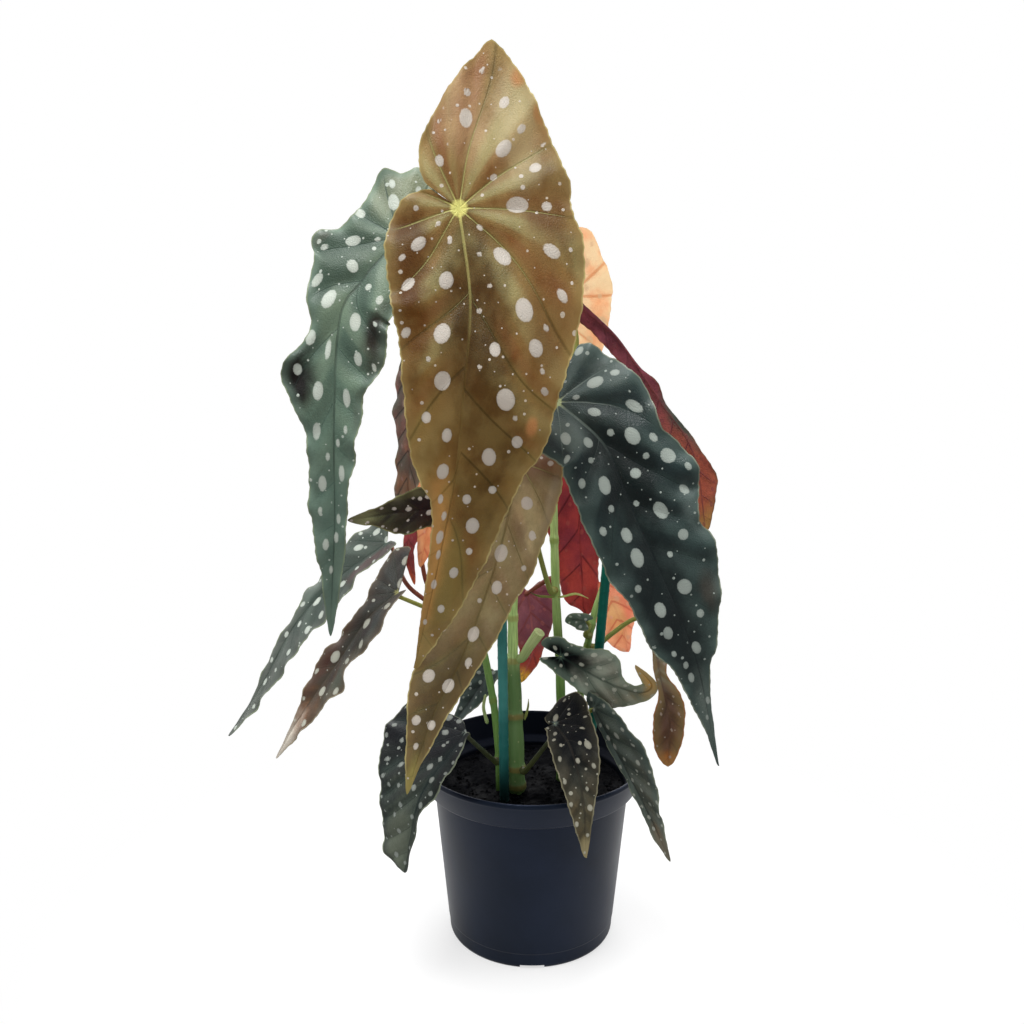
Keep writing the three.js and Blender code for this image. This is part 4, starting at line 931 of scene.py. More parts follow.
        "spotGap": 8, "spotSize": 1.6, "veinGap": 18, "pillow": 1.2, "sway": 0.8, "ruffle": 0.8,
        "cane": "cane_centre", "from": 356, "via": [],
    },
    "peach": {
        "midrib": [(20, 28, 376), (24, 34, 350), (26, 38, 322), (27, 38, 296)],
        "side": (-1, 0, 0), "fold": 3, "mesh": midMesh, "upper": "backlit", "under": "peach",
        "outline": [(-2, -4), (-14, -8), (-30, -8), (-38, -3), (-35, -17), (-20, -22), (-4, -26),
                    (14, -23), (30, -18), (56, -8), (80, 0), (56, 12), (30, 22), (4, 22), (-10, 16),
                    (-3, 2)],
        "spotGap": 11, "spotSize": 2.4, "veinGap": 18,
        "cane": "cane_centre", "from": 326, "via": [(25, 17, 349)],
    },
    "red": {
        "midrib": [(24, 26, 292), (28, 30, 250), (32, 28, 187)],
        "side": (-1, 0, 0), "mesh": midMesh, "upper": "backlit", "under": "crimson",
        "outline": [(-1, -2), (-10, -6), (-12, -16), (6, -18), (34, -12), (59, -11), (84, -10), (98, -8),
                    (106, -3), (102, 3), (96, 11), (82, 14), (60, 18), (38, 21), (14, 20), (-4, 14), (-1, 2)],
        "spotGap": 10, "spotSize": 2.2, "veinGap": 24, "pillow": 2.6, "sway": 2.0, "ruffle": 1.4,
        "cane": "cane_centre", "from": 272, "via": [],
    },
    "pink": {
        "midrib": [(44, 38, 204), (54, 42, 182), (62, 45, 156)],
        "side": (-1, 0, -0.5), "mesh": smallMesh, "upper": "backlit", "under": "coral",
        "outline": [(-1, -2), (-6, -8), (8, -12), (26, -11), (38, -5), (50, 0), (42, 10), (26, 14), (8, 13),
                    (-5, 8), (-1, 1)],
        "underLook": {"washes": [(26, 2, 18, 8, "#c8a468", 0.6)],
                      "glowWashes": [(26, 2, 18, 8, "#e8c488", 0.6)]},
        "spotGap": 8, "spotSize": 1.8, "veinGap": 13, "cane": "cane_right", "from": 186, "via": [],
    },
    "plum": {
        "midrib": [(-2, 26, 202), (0, 24, 186), (1, 16, 168), (-6, 9, 151)],
        "side": (-1, 0, 0), "mesh": smallMesh, "upper": "backlit", "under": "wine",
        "outline": [(-1, -2), (-5, -9), (6, -14), (20, -13), (32, -7), (46, -4), (56, 0), (48, 5), (34, 9),
                    (20, 12), (4, 11), (-6, 6), (-1, 1)],
        "underLook": {"base": "#7c5064", "tip": "#8a4438", "patch": "#5c3850", "glow": "#945c6a",
                      "glowTip": "#a04c40", "glowDeep": "#744454",
                      "washes": [(54, 0, 7, 6, "#e8b840", 0.9)],
                      "glowWashes": [(54, 0, 8, 6, "#ffd860", 0.9), (40, 0, 14, 9, "#b84838", 0.8)]},
        "spotGap": 8, "spotSize": 1.6, "veinGap": 13, "cane": "cane_centre", "from": 214, "via": [],
    },
    "orange": {
        "midrib": [(-54, -6, 290), (-58, -4, 258), (-64, -3, 224)],
        "side": (-1, 0, 0), "mesh": smallMesh, "upper": "backlit", "under": "coral",
        "outline": [(-1, -2), (-8, -6), (2, -12), (22, -12), (44, -8), (66, 0), (46, 5), (24, 8), (6, 12),
                    (-6, 9), (-1, 1)],
        "underLook": {"glow": "#ffb890", "glowTip": "#ffc898", "glowDeep": "#e8946c"},
        "spotGap": 8, "spotSize": 1.8, "veinGap": 14, "cane": "cane_left", "from": 268, "via": [],
    },
    "sliver": {
        "midrib": [(-69, 4, 250), (-72, 5, 232), (-69, 8, 212)],
        "side": (-0.7, -0.7, 0), "mesh": smallMesh, "upper": "backlit", "under": "wine",
        "outline": [(-1, -1), (-4, -6), (8, -8), (26, -4), (39, 0), (28, 2), (12, 3), (-3, 3), (-1, 1)],
        "spotGap": 7, "spotSize": 1.3, "veinGap": 11,
        "cane": "cane_left", "from": 200, "via": [(-50, -5, 204), (-61, 2, 215)],
    },
    "rim_left": {
        "midrib": [(-36, -54, 146), (-47, -66, 136), (-60, -78, 118), (-69, -80, 79)],
        "side": (1, 0, 0.3), "mesh": midMesh, "upper": "green", "under": "burgundy",
        "outline": [(0, -2), (-5, -6), (-6, -14), (-4, -30), (-3, -46), (6, -48), (18, -47), (36, -37),
                    (61, -24), (80, -16), (86, 0), (75, 1), (63, 3), (51, 3), (40, 8), (29, 8), (13, 6),
                    (2, 2)],
        # the near-black base, middle and joint wash are painted shade, where the leaf hangs under the others
        "look": {"base": "#09090d", "middle": "#0c0b10", "tip": "#5c6458", "spot": "#8c928c", "gloss": 0.14,
                 "thin": 0.03, "vein": "#1a1e1e", "rim": "#1f2224", "deep": "#0f1115", "litPleat": "#202127",
                 "dark": "#09090e", "starShare": 0.0, "litPleatAmount": 0.3,
                 "washes": [(-2, -5, 20, 18, "#0c1016", 0.9), (70, -8, 22, 12, "#6a7060", 0.5)]},
        "spotGap": 7.5, "spotSize": 2.0, "veinGap": 18, "pillow": 1.6, "sway": 1.3,
        "cane": "cane_left", "from": 112, "via": [],
    },
    "inner": {
        "midrib": [(-25, 8, 158), (-34, 6, 144), (-46, 2, 128)],
        "side": (0.4, -0.5, -0.6), "mesh": smallMesh, "upper": "green", "under": "burgundy",
        "outline": [(-1, -2), (-5, -8), (6, -10), (20, -7), (38, 0), (22, 6), (8, 8), (-4, 6), (-1, 1)],
        "spotGap": 7, "spotSize": 1.4, "veinGap": 11, "cane": "cane_main", "from": 138,
        "via": [(-15, 8, 148)],
    },
    "rim_front": {
        "midrib": [(12, -42, 146), (20, -62, 140), (26, -74, 117), (28, -78, 86)],
        "side": (1, 0, 0.3), "mesh": midMesh, "upper": "green", "under": "burgundy",
        "outline": [(2, -6), (14, -10), (28, -11), (40, -10), (54, -8), (71, -4), (81, 0), (56, 5),
                    (44, 9), (32, 13), (20, 16), (4, 20), (-6, 22), (-13, 20), (-16, 12), (-12, 4),
                    (-7, -3), (-2, -3)],
        # the near-black base and the wide wash round the joint are painted shade under the other leaves
        "look": {"base": "#04060f", "middle": "#6c6454", "tip": "#907a50", "deep": "#262420", "dots": 0.9,
                 "spot": "#aaa898", "litPleat": "#5c5a4c", "dark": "#1a1717", "starShare": 0.0,
                 "vein": "#2c2a26", "midrib": "#34302a", "margin": "#8f8a70", "zones": (0.1, 0.45, 0.85),
                 "gloss": 0.1, "thin": 0.02, "rim": "#3c3a30",
                 "washes": [(4, 6, 44, 34, "#05080d", 1.0), (78, 0, 8, 4, "#c8b888", 0.8)]},
        "spotGap": 9, "spotSize": 2.0, "veinGap": 16, "pillow": 1.5, "sway": 1.2,
        "cane": "cane_main", "from": 108, "via": [],
    },
    "rim_right": {
        "midrib": [(34.5, -31, 151), (46, -45, 131), (58.5, -58, 107), (73, -66, 79)],
        "side": (0.5, -0.5, 0.6), "mesh": midMesh, "upper": "green", "under": "burgundy",
        "outline": [(0, -2), (4, -3), (17, -4), (39, -4), (54, -4), (76, -4), (92, 0), (77, 5), (56, 14),
                    (41, 20), (24, 18), (10, 14), (-2, 9), (-9, 2), (-5, -3), (-1, -2)],
        "look": {"base": "#4c5850", "middle": "#626c60", "tip": "#75705a", "spot": "#a8aca0",
                 "deep": "#343c38", "litPleat": "#75807a", "dark": "#3a423e", "starShare": 0.0,
                 "washes": [(30, 16, 26, 6, "#2c3230", 0.6), (84, 0, 14, 6, "#987c5c", 0.65)]},
        "spotGap": 6.5, "spotSize": 1.6, "veinGap": 18, "pillow": 1.4, "sway": 1.0,
        "cane": "cane_right", "from": 122, "via": [(32, -8, 138)],
    },
    "grey": {
        "midrib": [(16, -22, 178), (40, -26, 165), (60, -25, 158), (67, -26, 163), (57, -27, 175)],
        "side": (0.2, 0, 1), "mesh": midMesh, "upper": "silver", "under": "burgundy",
        "outline": [(-1, -3), (-10, -7), (2, -10), (18, -12), (28, -13), (38, -13), (50, -6), (60, -3),
                    (74, 0), (64, 4), (52, 5), (44, 4), (37, 6), (30, 15), (20, 17), (12, 13), (2, 10),
                    (-6, 10), (-13, 5), (-12, 0), (-2, 1)],
        # the pale middle colour and the bright wash at the tip are painted light, against the shade these
        # parts get in the scene; base and the wash at the joint make the lobe near black
        "look": {"base": "#08090b", "middle": "#ced2bf", "tip": "#8a6c3a", "deep": "#4c5248",
                 "spot": "#b4b8a8", "litPleat": "#b9bfad", "dark": "#6d7266", "starShare": 0.0, "thin": 0.04,
                 "gloss": 0.1, "zones": (0.0, 0.22, 0.85),
                 "washes": [(-4, 3, 25, 25, "#04060a", 1.0), (34, 10, 16, 6, "#6c7064", 0.5),
                            (66, 0, 14, 14, "#e8b050", 1.0)]},
        "spotGap": 7, "spotSize": 1.5, "veinGap": 15, "pillow": 1.3, "sway": 0.8, "ruffle": 0.6,
        "rufflePitch": 15, "cane": "cane_centre", "from": 166, "via": [],
    },
    "brown": {
        "midrib": [(66, -28, 195), (70, -36, 172), (75, -44, 148), (74, -48, 125)],
        "side": (1, 0, 0), "mesh": smallMesh, "upper": "bronze", "under": "rust",
        "outline": [(-1, -3), (-6, -6), (8, -2), (22, -3), (34, -3), (48, -9), (62, -9), (71, -5), (75, 0),
                    (70, 4), (54, 8), (38, 9), (24, 4), (10, 8), (-4, 6), (-1, 2)],
        "look": {"base": "#96a498", "middle": "#413332", "tip": "#543329", "deep": "#33241f",
                 "patchAmount": 0.2, "spot": "#ac9c8c", "litPleat": "#6c5248", "dark": "#33241f",
                 "beside": "#5c4a3c", "thin": 0.12, "zones": (0.35, 0.5, 0.9), "starShare": 0.0,
                 "margin": "#b0703c", "vein": "#3c2820", "midrib": "#4a3428", "veinAmount": 0.3,
                 "washes": [(73, 0, 7, 12, "#b0682e", 0.9)]},
        "spotGap": 8, "spotSize": 1.1, "veinGap": 13, "cane": "cane_right", "from": 173,
        "via": [(48, 13, 180), (60, 9, 190), (70, -12, 198)],
    },
    "curl": {
        "midrib": [(31, 1.5, 191), (25, 1, 192.5), (19, 4, 190)],
        "side": (0, 0, -1), "mesh": smallMesh, "upper": "silver", "under": "burgundy",
        "outline": [(-1, -1), (-4, -3), (0, -5), (5, -4), (10, -3), (13, 0), (10, 3), (6, 5), (1, 6), (-3, 4),
                    (-1, 1)],
        "look": {"base": "#6a746a", "middle": "#4f5a50", "tip": "#3a423c", "starShare": 0.0},
        "spotGap": 4, "spotSize": 0.9, "veinGap": 7, "pillow": 0.6, "sway": 0.8, "ruffle": 0.6,
        "rufflePitch": 9, "cane": "cane_right", "from": 180, "via": [(34, 7, 187)],
    },
}

# a wing-shaped outline as shares of its length and of its wide and narrow lobes
wingShares = [(-0.02, -0.25), (-0.09, -0.6), (0, -0.95), (0.2, -1), (0.45, -0.8), (0.7, -0.45), (0.88, -0.15),
              (1, 0), (0.86, 0.2), (0.65, 0.5), (0.4, 0.85), (0.15, 1), (-0.1, 0.92), (-0.22, 0.6),
              (-0.16, 0.2), (-0.03, 0)]


def wing(length, wide, narrow):
    return [(a * length, b * (narrow if b < 0 else wide)) for a, b in wingShares]


surfaces = {}


def addLeaves():
    for seed, (name, leaf) in enumerate(leafPlan.items()):
        surface = LeafSurface(leaf["midrib"], leaf["side"], leaf.get("fold", 4))
        surfaces[name] = surface
        outline = leaf["outline"]
        length = max(a for a, b in outline)
        upper = makeUpper(name, {**upperLooks[leaf["upper"]], **leaf.get("look", {})}, length)
        under = makeUnder(name, {**underLooks[leaf["under"]], **leaf.get("underLook", {})}, length)
        addBlade("leaf_" + name, "blade_" + name, surface, outline, leaf, [upper, under], seed + 11)


addLeaves()
print("leaves built:", len(surfaces))


def frames(points):
    # a tangent and two cross directions at each point, carried along without turning
    tangents = unit(np.gradient(points, axis=0))
    across = np.cross(tangents[0], (0.31, 0.86, 0.4))
    rows = []
    for tangent in tangents:
        across = unit(across - across.dot(tangent) * tangent)
        rows.append(across)
    rows = np.array(rows)
    return tangents, rows, np.cross(tangents, rows)


routeSteps = 400  # places along a stem's route
noNodes = [1e6]  # mm along a stem, so far off that no ring shows
placeTurn = 3.0  # mm of bark to a radian round the stem


def addStem(name, node, route, radiusAt, materials, step=1.0, sides=16, nodesAt=noNodes, capRound=0.5,
            endMaterial=0):
    # a round stem; radiusAt(gone, length, off) gives the radius in mm, off is the way to the nearest node
    line, length = smoothCurve(route, routeSteps)
    count = max(8, int(length / step))
    places, lined = np.linspace(0, length, count + 1), np.linspace(0, length, routeSteps + 1)
    points = np.stack([np.interp(places, lined, line[:, k]) for k in range(3)], 1)
    tangents, across, over = frames(points)
    off = np.abs(places[:, None] - np.array(nodesAt)[None]).min(1)
    radii = np.array([radiusAt(s, length, o) for s, o in zip(places, off)])
    # round shoulders at both ends
    rows = [(0, 0.45, -capRound), *((i, 1.0, 0.0) for i in range(count + 1)), (count, 0.45, capRound)]
    vertices, marks = [], []
    for i, share, push in rows:
        for j in range(sides):
            turn = 2 * math.pi * j / sides
            spoke = across[i] * math.cos(turn) + over[i] * math.sin(turn)
            vertices.append(points[i] + tangents[i] * push * radii[i] + spoke * radii[i] * share)
            marks.append((turn * placeTurn, places[i], off[i]))
    faces = []
    for i in range(len(rows) - 1):
        for j in range(sides):
            a, b = i * sides + j, i * sides + (j + 1) % sides
            faces.append([a, b, b + sides, a + sides])
    last = (len(rows) - 1) * sides
    faces += [list(range(sides))[::-1], [last + j for j in range(sides)]]
    kinds = [0] * (len(faces) - 1) + [endMaterial]
    setVectors(addPiece(name, vertices, faces, node, materials, kinds, sharp=60), "place", marks)


def makeStemMaterial(name, look):
    material, wires, output = newMaterial(name)
    place = wires.attribute("place")
    skin = wires.group("stemSkin", {"Place": place, "Speckle": look["speckle"]})
    along = wires.split(place)[1]
    body = wires.mix(wires.fade(along, *look["change"]), paint(look["foot"]), paint(look["head"]))
    body = wires.cover(body, skin["Streaks"], 0.55, look["streak"])
    body = wires.cover(body, skin["Speckles"], 0.5, look["speck"])
    body = wires.cover(body, skin["Ring"], look["rings"], look["ring"])
    # darker towards the foot of the stem, near the soil
    body = wires.mix(wires.fade(along, 12, 34, look.get("footDarkening", 0.0), 0.0), body, paint("#1a1e12"))
    bump = wires.bump(skin["Height"], 0.4, 0.0004)
    bark = wires.node("ShaderNodeBsdfPrincipled", {
        "Base Color": body, "Roughness": wires.fade(skin["Streaks"], 0, 1, 0.38, 0.55), "Normal": bump,
        "Specular IOR Level": 0.4,
    })
    glow = wires.mix(wires.fade(along, *look["change"]), paint(look["foot"]), paint(look["head"]))
    through = wires.node("ShaderNodeBsdfTranslucent", {"Color": glow})
    wires.finish(output, bark, through, 0.25)
    return material


stemLooks = {
    "cane_main": {"foot": "#76965e", "head": "#dcf4a8", "change": (88, 104), "streak": "#688f50",
                  "speck": "#d8dea8", "ring": "#a86a34", "speckle": 0.05, "rings": 0.45, "footDarkening": 0.9},
    "cane_green": {"foot": "#86b060", "head": "#dcf0a4", "change": (60, 200), "streak": "#689048",
                   "speck": "#cdd492", "ring": "#8f9a4c", "speckle": 0.05, "rings": 0.6, "footDarkening": 0.9},
    "cut": {"foot": "#b4c888", "head": "#d0dca0", "change": (0, 16), "streak": "#98b068",
            "speck": "#dce4b4", "ring": "#c08a4c", "speckle": 0.1, "rings": 0.3},
    "petiole": {"foot": "#93a254", "head": "#b0b45c", "change": (0, 60), "streak": "#8a7a3c",
                "speck": "#c9c78a", "ring": "#9a7a3c", "speckle": 0.12, "rings": 0.6},
    # a darker copy of the petiole colours: painted shade for stalks low under the leaves
    "shadedPetiole": {"foot": "#5c6438", "head": "#48503a", "change": (0, 40), "streak": "#4c4a2c",
                    "speck": "#8f9468", "ring": "#6a5a34", "speckle": 0.12, "rings": 0.5},
    "redPetiole": {"foot": "#93503c", "head": "#a05a44", "change": (0, 60), "streak": "#6a3028",
                   "speck": "#c58a6a", "ring": "#7a4432", "speckle": 0.12, "rings": 0.5},
}
stemMaterials = {name: makeStemMaterial(name, look) for name, look in stemLooks.items()}

canePlan = {
    "cane_main": {
        "route": [(-8, -16, 74), (-9, -15, 118), (-10, -10, 147), (-11, -8, 171), (-11, -6, 215),
                  (-11, -6, 250), (-12, -8, 300), (-14, -10, 350), (-18, -14, 384)],
        "radii": (4.9, 1.8), "nodeHeights": (97, 108, 138, 171, 196, 232, 268, 300, 326, 345, 366, 378),
        "material": "cane_main", "step": 0.24,
    },
    "cane_centre": {
        "route": [(18, 2, 76), (17, 0, 150), (14, 0, 204), (12, 0, 260), (11, 2, 320), (14, 6, 366)],
        "radii": (2.9, 1.8), "nodeHeights": (104, 136, 166, 209, 240, 272, 300, 326, 356),
        "material": "cane_green",
    },
    "cane_left": {
        "route": [(-18, -14, 76), (-20, -12, 127), (-26, -12, 169), (-36, -15, 215), (-45, -19, 262),
                  (-50, -22, 310), (-52, -23, 348)],
        "radii": (2.3, 1.5), "nodeHeights": (112, 148, 186, 197, 232, 250, 268, 322),
        "material": "cane_green",
    },
    "cane_right": {
        "route": [(24, 10, 76), (30, 9, 150), (36, 10, 189), (44, 12, 216), (54, 14, 262), (57, 16, 300),
                  (55, 18, 338)],
        "radii": (2.4, 1.6), "nodeHeights": (98, 122, 150, 173, 186, 224, 258, 296),
        "material": "cane_green",
    },
}
stepNode = 171  # mm up, the node above which a stepped cane is thinner
nodeReach = 14  # mm from a node to the middle of its waist
caneLines = {}


def caneRadius(cane, share):
    return cane["radii"][0] + (cane["radii"][1] - cane["radii"][0]) * share


def addCanes():
    for name, cane in canePlan.items():
        line, length = smoothCurve(cane["route"], routeSteps)
        caneLines[name] = line
        lined = np.linspace(0, length, routeSteps + 1)
        levels = [np.interp(z, line[:, 2], lined) for z in cane["nodeHeights"]]
        stepAt = float(levels[cane["nodeHeights"].index(stepNode)]) + 1 if "step" in cane else 0

        def radiusAt(gone, total, off, cane=cane, stepAt=stepAt):
            # a swollen ring with a fine groove at each node, and a slight waist half way between nodes
            plain = caneRadius(cane, gone / total)
            plain *= 1 - cane.get("step", 0) / (1 + math.exp(stepAt - gone))
            ring = 0.26 * math.exp(-((off / 2.4) ** 2)) - 0.1 * math.exp(-((off / 0.5) ** 2))
            return plain * (1 + ring - 0.05 * math.cos(min(off, nodeReach) / nodeReach * math.pi))

        material = stemMaterials[cane["material"]]
        addStem(
            name + "_bark", name, cane["route"], radiusAt, [material], step=0.8, sides=24, nodesAt=levels,
        )


addCanes()
print("canes built:", len(caneLines))

petioleSet = {"radius": 1.5, "approach": 5, "end": 2.1, "swelling": 0.35, "clearance": 0.7}


def addPetioles():
    for name, leaf in leafPlan.items():
        surface = surfaces[name]
        cane = canePlan[leaf["cane"]]
        line = caneLines[leaf["cane"]]
        share = float(np.interp(leaf["from"], line[:, 2], np.linspace(0, 1, routeSteps + 1)))
        index = round(share * routeSteps)
        node, along = line[index], unit(line[min(index + 1, routeSteps)] - line[index - 1])
        joint = surface.at(0, 0)[0]
        underside = joint - surface.at(0, 0, 1)[0]
        towards = np.array(leaf["via"][0] if leaf["via"] else joint) - node
        out = unit(towards - towards.dot(along) * along)
        bark = caneRadius(cane, share)
        start = node + out * (bark + petioleSet["clearance"])
        route = [node + out * bark * 0.6, start, start + out * 4 + along * 1.5, *map(np.array, leaf["via"]),
                 joint + underside * petioleSet["approach"], joint + underside * petioleSet["end"]]

        def radiusAt(gone, total, off):
            foot = math.exp(-gone / 3.5) * 0.7
            head = math.exp(-((total - gone) / 3.0) ** 2) * petioleSet["swelling"]
            return petioleSet["radius"] * (0.88 + 0.12 * math.cos(gone / total * 3) + (foot + head))

        red = leaf["under"] in ("wine", "crimson", "coral") or name in ("silver", "small")
        # the rim and inner leaves' stalks take the darker petiole colours, painted shade
        dark = name in ("rim_left", "rim_front", "inner")
        material = stemMaterials["redPetiole" if red else "shadedPetiole" if dark else "petiole"]
        addStem("stalk_" + name, "petiole_" + name, route, radiusAt, [material], sides=14, nodesAt=[0])


addPetioles()
print("stalks built")


def makePaper(name, look):
    material, wires, output = newMaterial(name)
    place = wires.attribute("place")
    fibres = wires.noise(wires.stretch(place, (0.12, 2.2, 0)), 1.6, 3)
    along = wires.split(place)[0]
    body = wires.mix(wires.fade(along, *look["change"]), paint(look["foot"]), paint(look["head"]))
    body = wires.mix(wires.fade(fibres, 0.4, 0.7, 0.0, 0.5), body, paint(look["fibre"]))
    bump = wires.bump(fibres, 0.5, 0.0003)
    sheet = wires.node("ShaderNodeBsdfPrincipled", {
        "Base Color": body, "Roughness": wires.fade(fibres, 0.2, 0.8, 0.5, 0.75), "Normal": bump,
    })
    through = wires.node("ShaderNodeBsdfTranslucent", {"Color": body, "Normal": bump})
    wires.finish(output, sheet, through, 0.3)
    return material


stipulePlan = {
    "stipule_left": {"midrib": [(10, -4, 207), (4, -5, 208), (-1, -6, 211)], "head": "#3a3a2a"},
    "stipule_right": {"midrib": [(18, -3, 208), (25, -4, 209.5), (32, -5, 206.5)], "head": "#a8ac5a"},
    "stipule_back": {"midrib": [(28.5, 4, 172), (24, 4, 175), (19, 4, 178)], "head": "#9a8a50"},
    "stipule_low": {"midrib": [(-4, -8, 137), (-2.5, -8, 142), (-1.5, -8, 147)], "head": "#a5a060"},
}
budPlan = {
    "cut_shoot": {"route": [(-7.4, -10.4, 172.5), (-5.4, -11.9, 174), (-1.5, -14.5, 181.5), (4, -18, 191)],
                  "radii": (2.5, 3.3)},
    "bud": {"route": [(-26, -11, 134), (-28, -9, 142), (-27, -8, 149)], "radii": (1.1, 0.8)},
}


def addSmallPieces():
    for seed, (name, plan) in enumerate(stipulePlan.items()):
        surface = LeafSurface(plan["midrib"], (0, -1, 0.3), 20, 0)
        look = {"foot": "#9aa850", "head": plan["head"], "fibre": "#c3c088", "change": (4, 12)}
        paper = makePaper(name + "_paper", look)
        leaf = {"mesh": {"lobeRows": 8, "stationRows": 30, "rings": 8}, "thickness": 0.4, "pillow": 0.1,
                "sway": 0.25, "ruffle": 0.25, "rufflePitch": 7, "veinGap": 3, "teeth": 0.12,
                "spots": [(0, 90, 1, 1)]}  # one spot far off the bract, so none on it
        addBlade(name + "_bract", name, surface, wing(surface.length, 3, 3), leaf, [paper, paper], seed + 71)
    cutFace = makePaper(
        "cut_face", {"foot": "#c9cf9a", "head": "#c9cf9a", "fibre": "#8a9a5a", "change": (0, 10)},
    )
    for name, plan in budPlan.items():
        low, high = plan["radii"]

        def radiusAt(gone, total, off, low=low, high=high):
            return low + (high - low) * gone / total

        flat = 0.02 if name == "cut_shoot" else 0.9
        addStem(
            name + "_skin", name, plan["route"], radiusAt, [stemMaterials["cut"], cutFace], step=0.5,
            sides=20, capRound=flat, endMaterial=1 if name == "cut_shoot" else 0,
        )


addSmallPieces()
print("stipules, cut shoot and bud built")


def makePlastic(name, look):
    material, wires, output = newMaterial(name)
    where = wires.node("ShaderNodeTexCoord").outputs["Object"]
    wear = wires.group("plasticWear", {"Vector": where, "Dust Level": look["dustLevel"]})
    body = wires.mix(wear["Tone"], paint(look["dark"]), paint(look["light"]))
    body = wires.cover(body, wear["Dust"], look["dust"], look["dustColour"])
    # darker downwards between these two heights, towards the soil
    if "darkeningRise" in look:
        low, high = look["darkeningRise"]
        body = wires.mix(wires.fade(wires.split(where)[2], low, high, 0.9, 0.0), body, paint("#07100f"))
    shell = wires.node("ShaderNodeBsdfPrincipled", {
        "Base Color": body, "Roughness": wires.math("ADD", wear["Roughness"], look["roughness"]),
        "Normal": wires.bump(wear["Height"], 0.25, 0.0001),
        "Specular IOR Level": look["gloss"], "Specular Tint": paint(look["sheen"]),
    })
    wires.finish(output, shell)
    return material


potSet = {
    "height": 110, "rimRadius": 67, "rimFoot": 62.5, "rimBand": 18, "bandStep": 1.5, "lip": 0.8,
    "bodyTop": 57.6, "bodyBottom": 49.2, "footRadius": 47.5, "corner": 3, "wall": 1.8,
    "drains": 4, "drain": (9, 14, 4),
    "look": {"dark": "#0f161f", "light": "#171f2d", "dust": 0.25, "dustLevel": 0.66, "dustColour": "#4a5468",
             "roughness": -0.06, "gloss": 0.5, "sheen": "#98a4c8"},
    # the inside of the pot: a darker, duller copy of the plastic, painted shade
    "inside": {"dark": "#03050a", "light": "#070a12", "dust": 0.1, "dustLevel": 0.68, "dustColour": "#3a4458",
               "roughness": 0.2, "gloss": 0.15, "sheen": "#98a4c8"},
}
soilSet = {"top": 91, "mound": 2.5, "gap": 0.4, "crumbs": 900, "crumbSize": (0.5, 2.2)}
crumbTurn = 6.283  # radians, one turn of the random crumbs
stakeSet = {"radius": 2.9, "ridgePitch": 7.5, "ridge": 0.14}


def turned(profile, segments):
    # vertices and faces of a (radius, height) profile that starts and ends on the axis and is turned round it
    vertices, faces, rows = [], [], []
    for radius, height in profile:
        if radius < 1e-6:
            rows.append([len(vertices)] * segments)
            vertices.append((0, 0, height))
            continue
        rows.append(list(range(len(vertices), len(vertices) + segments)))
        for k in range(segments):
            turn = 2 * math.pi * k / segments
            vertices.append((radius * math.cos(turn), radius * math.sin(turn), height))
    for low, high in zip(rows, rows[1:]):
        for k in range(segments):
            n = (k + 1) % segments
            corners = list(dict.fromkeys([low[k], low[n], high[n], high[k]]))
            faces.append(corners)
    return vertices, faces


def roundCorners(profile, radius, steps=4):
    # each inner corner of the profile becomes a short arc
    points = [profile[0]]
    for before, corner, after in zip(profile, profile[1:], profile[2:]):
        before, corner, after = map(np.array, (before, corner, after))
        reach = min(radius, 0.45 * np.linalg.norm(before - corner), 0.45 * np.linalg.norm(after - corner))
        start, end = corner + unit(before - corner) * reach, corner + unit(after - corner) * reach
        for k in range(steps + 1):
            t = k / steps
            points.append(tuple((1 - t) ** 2 * start + 2 * t * (1 - t) * corner + t * t * end))
    return points + [profile[-1]]


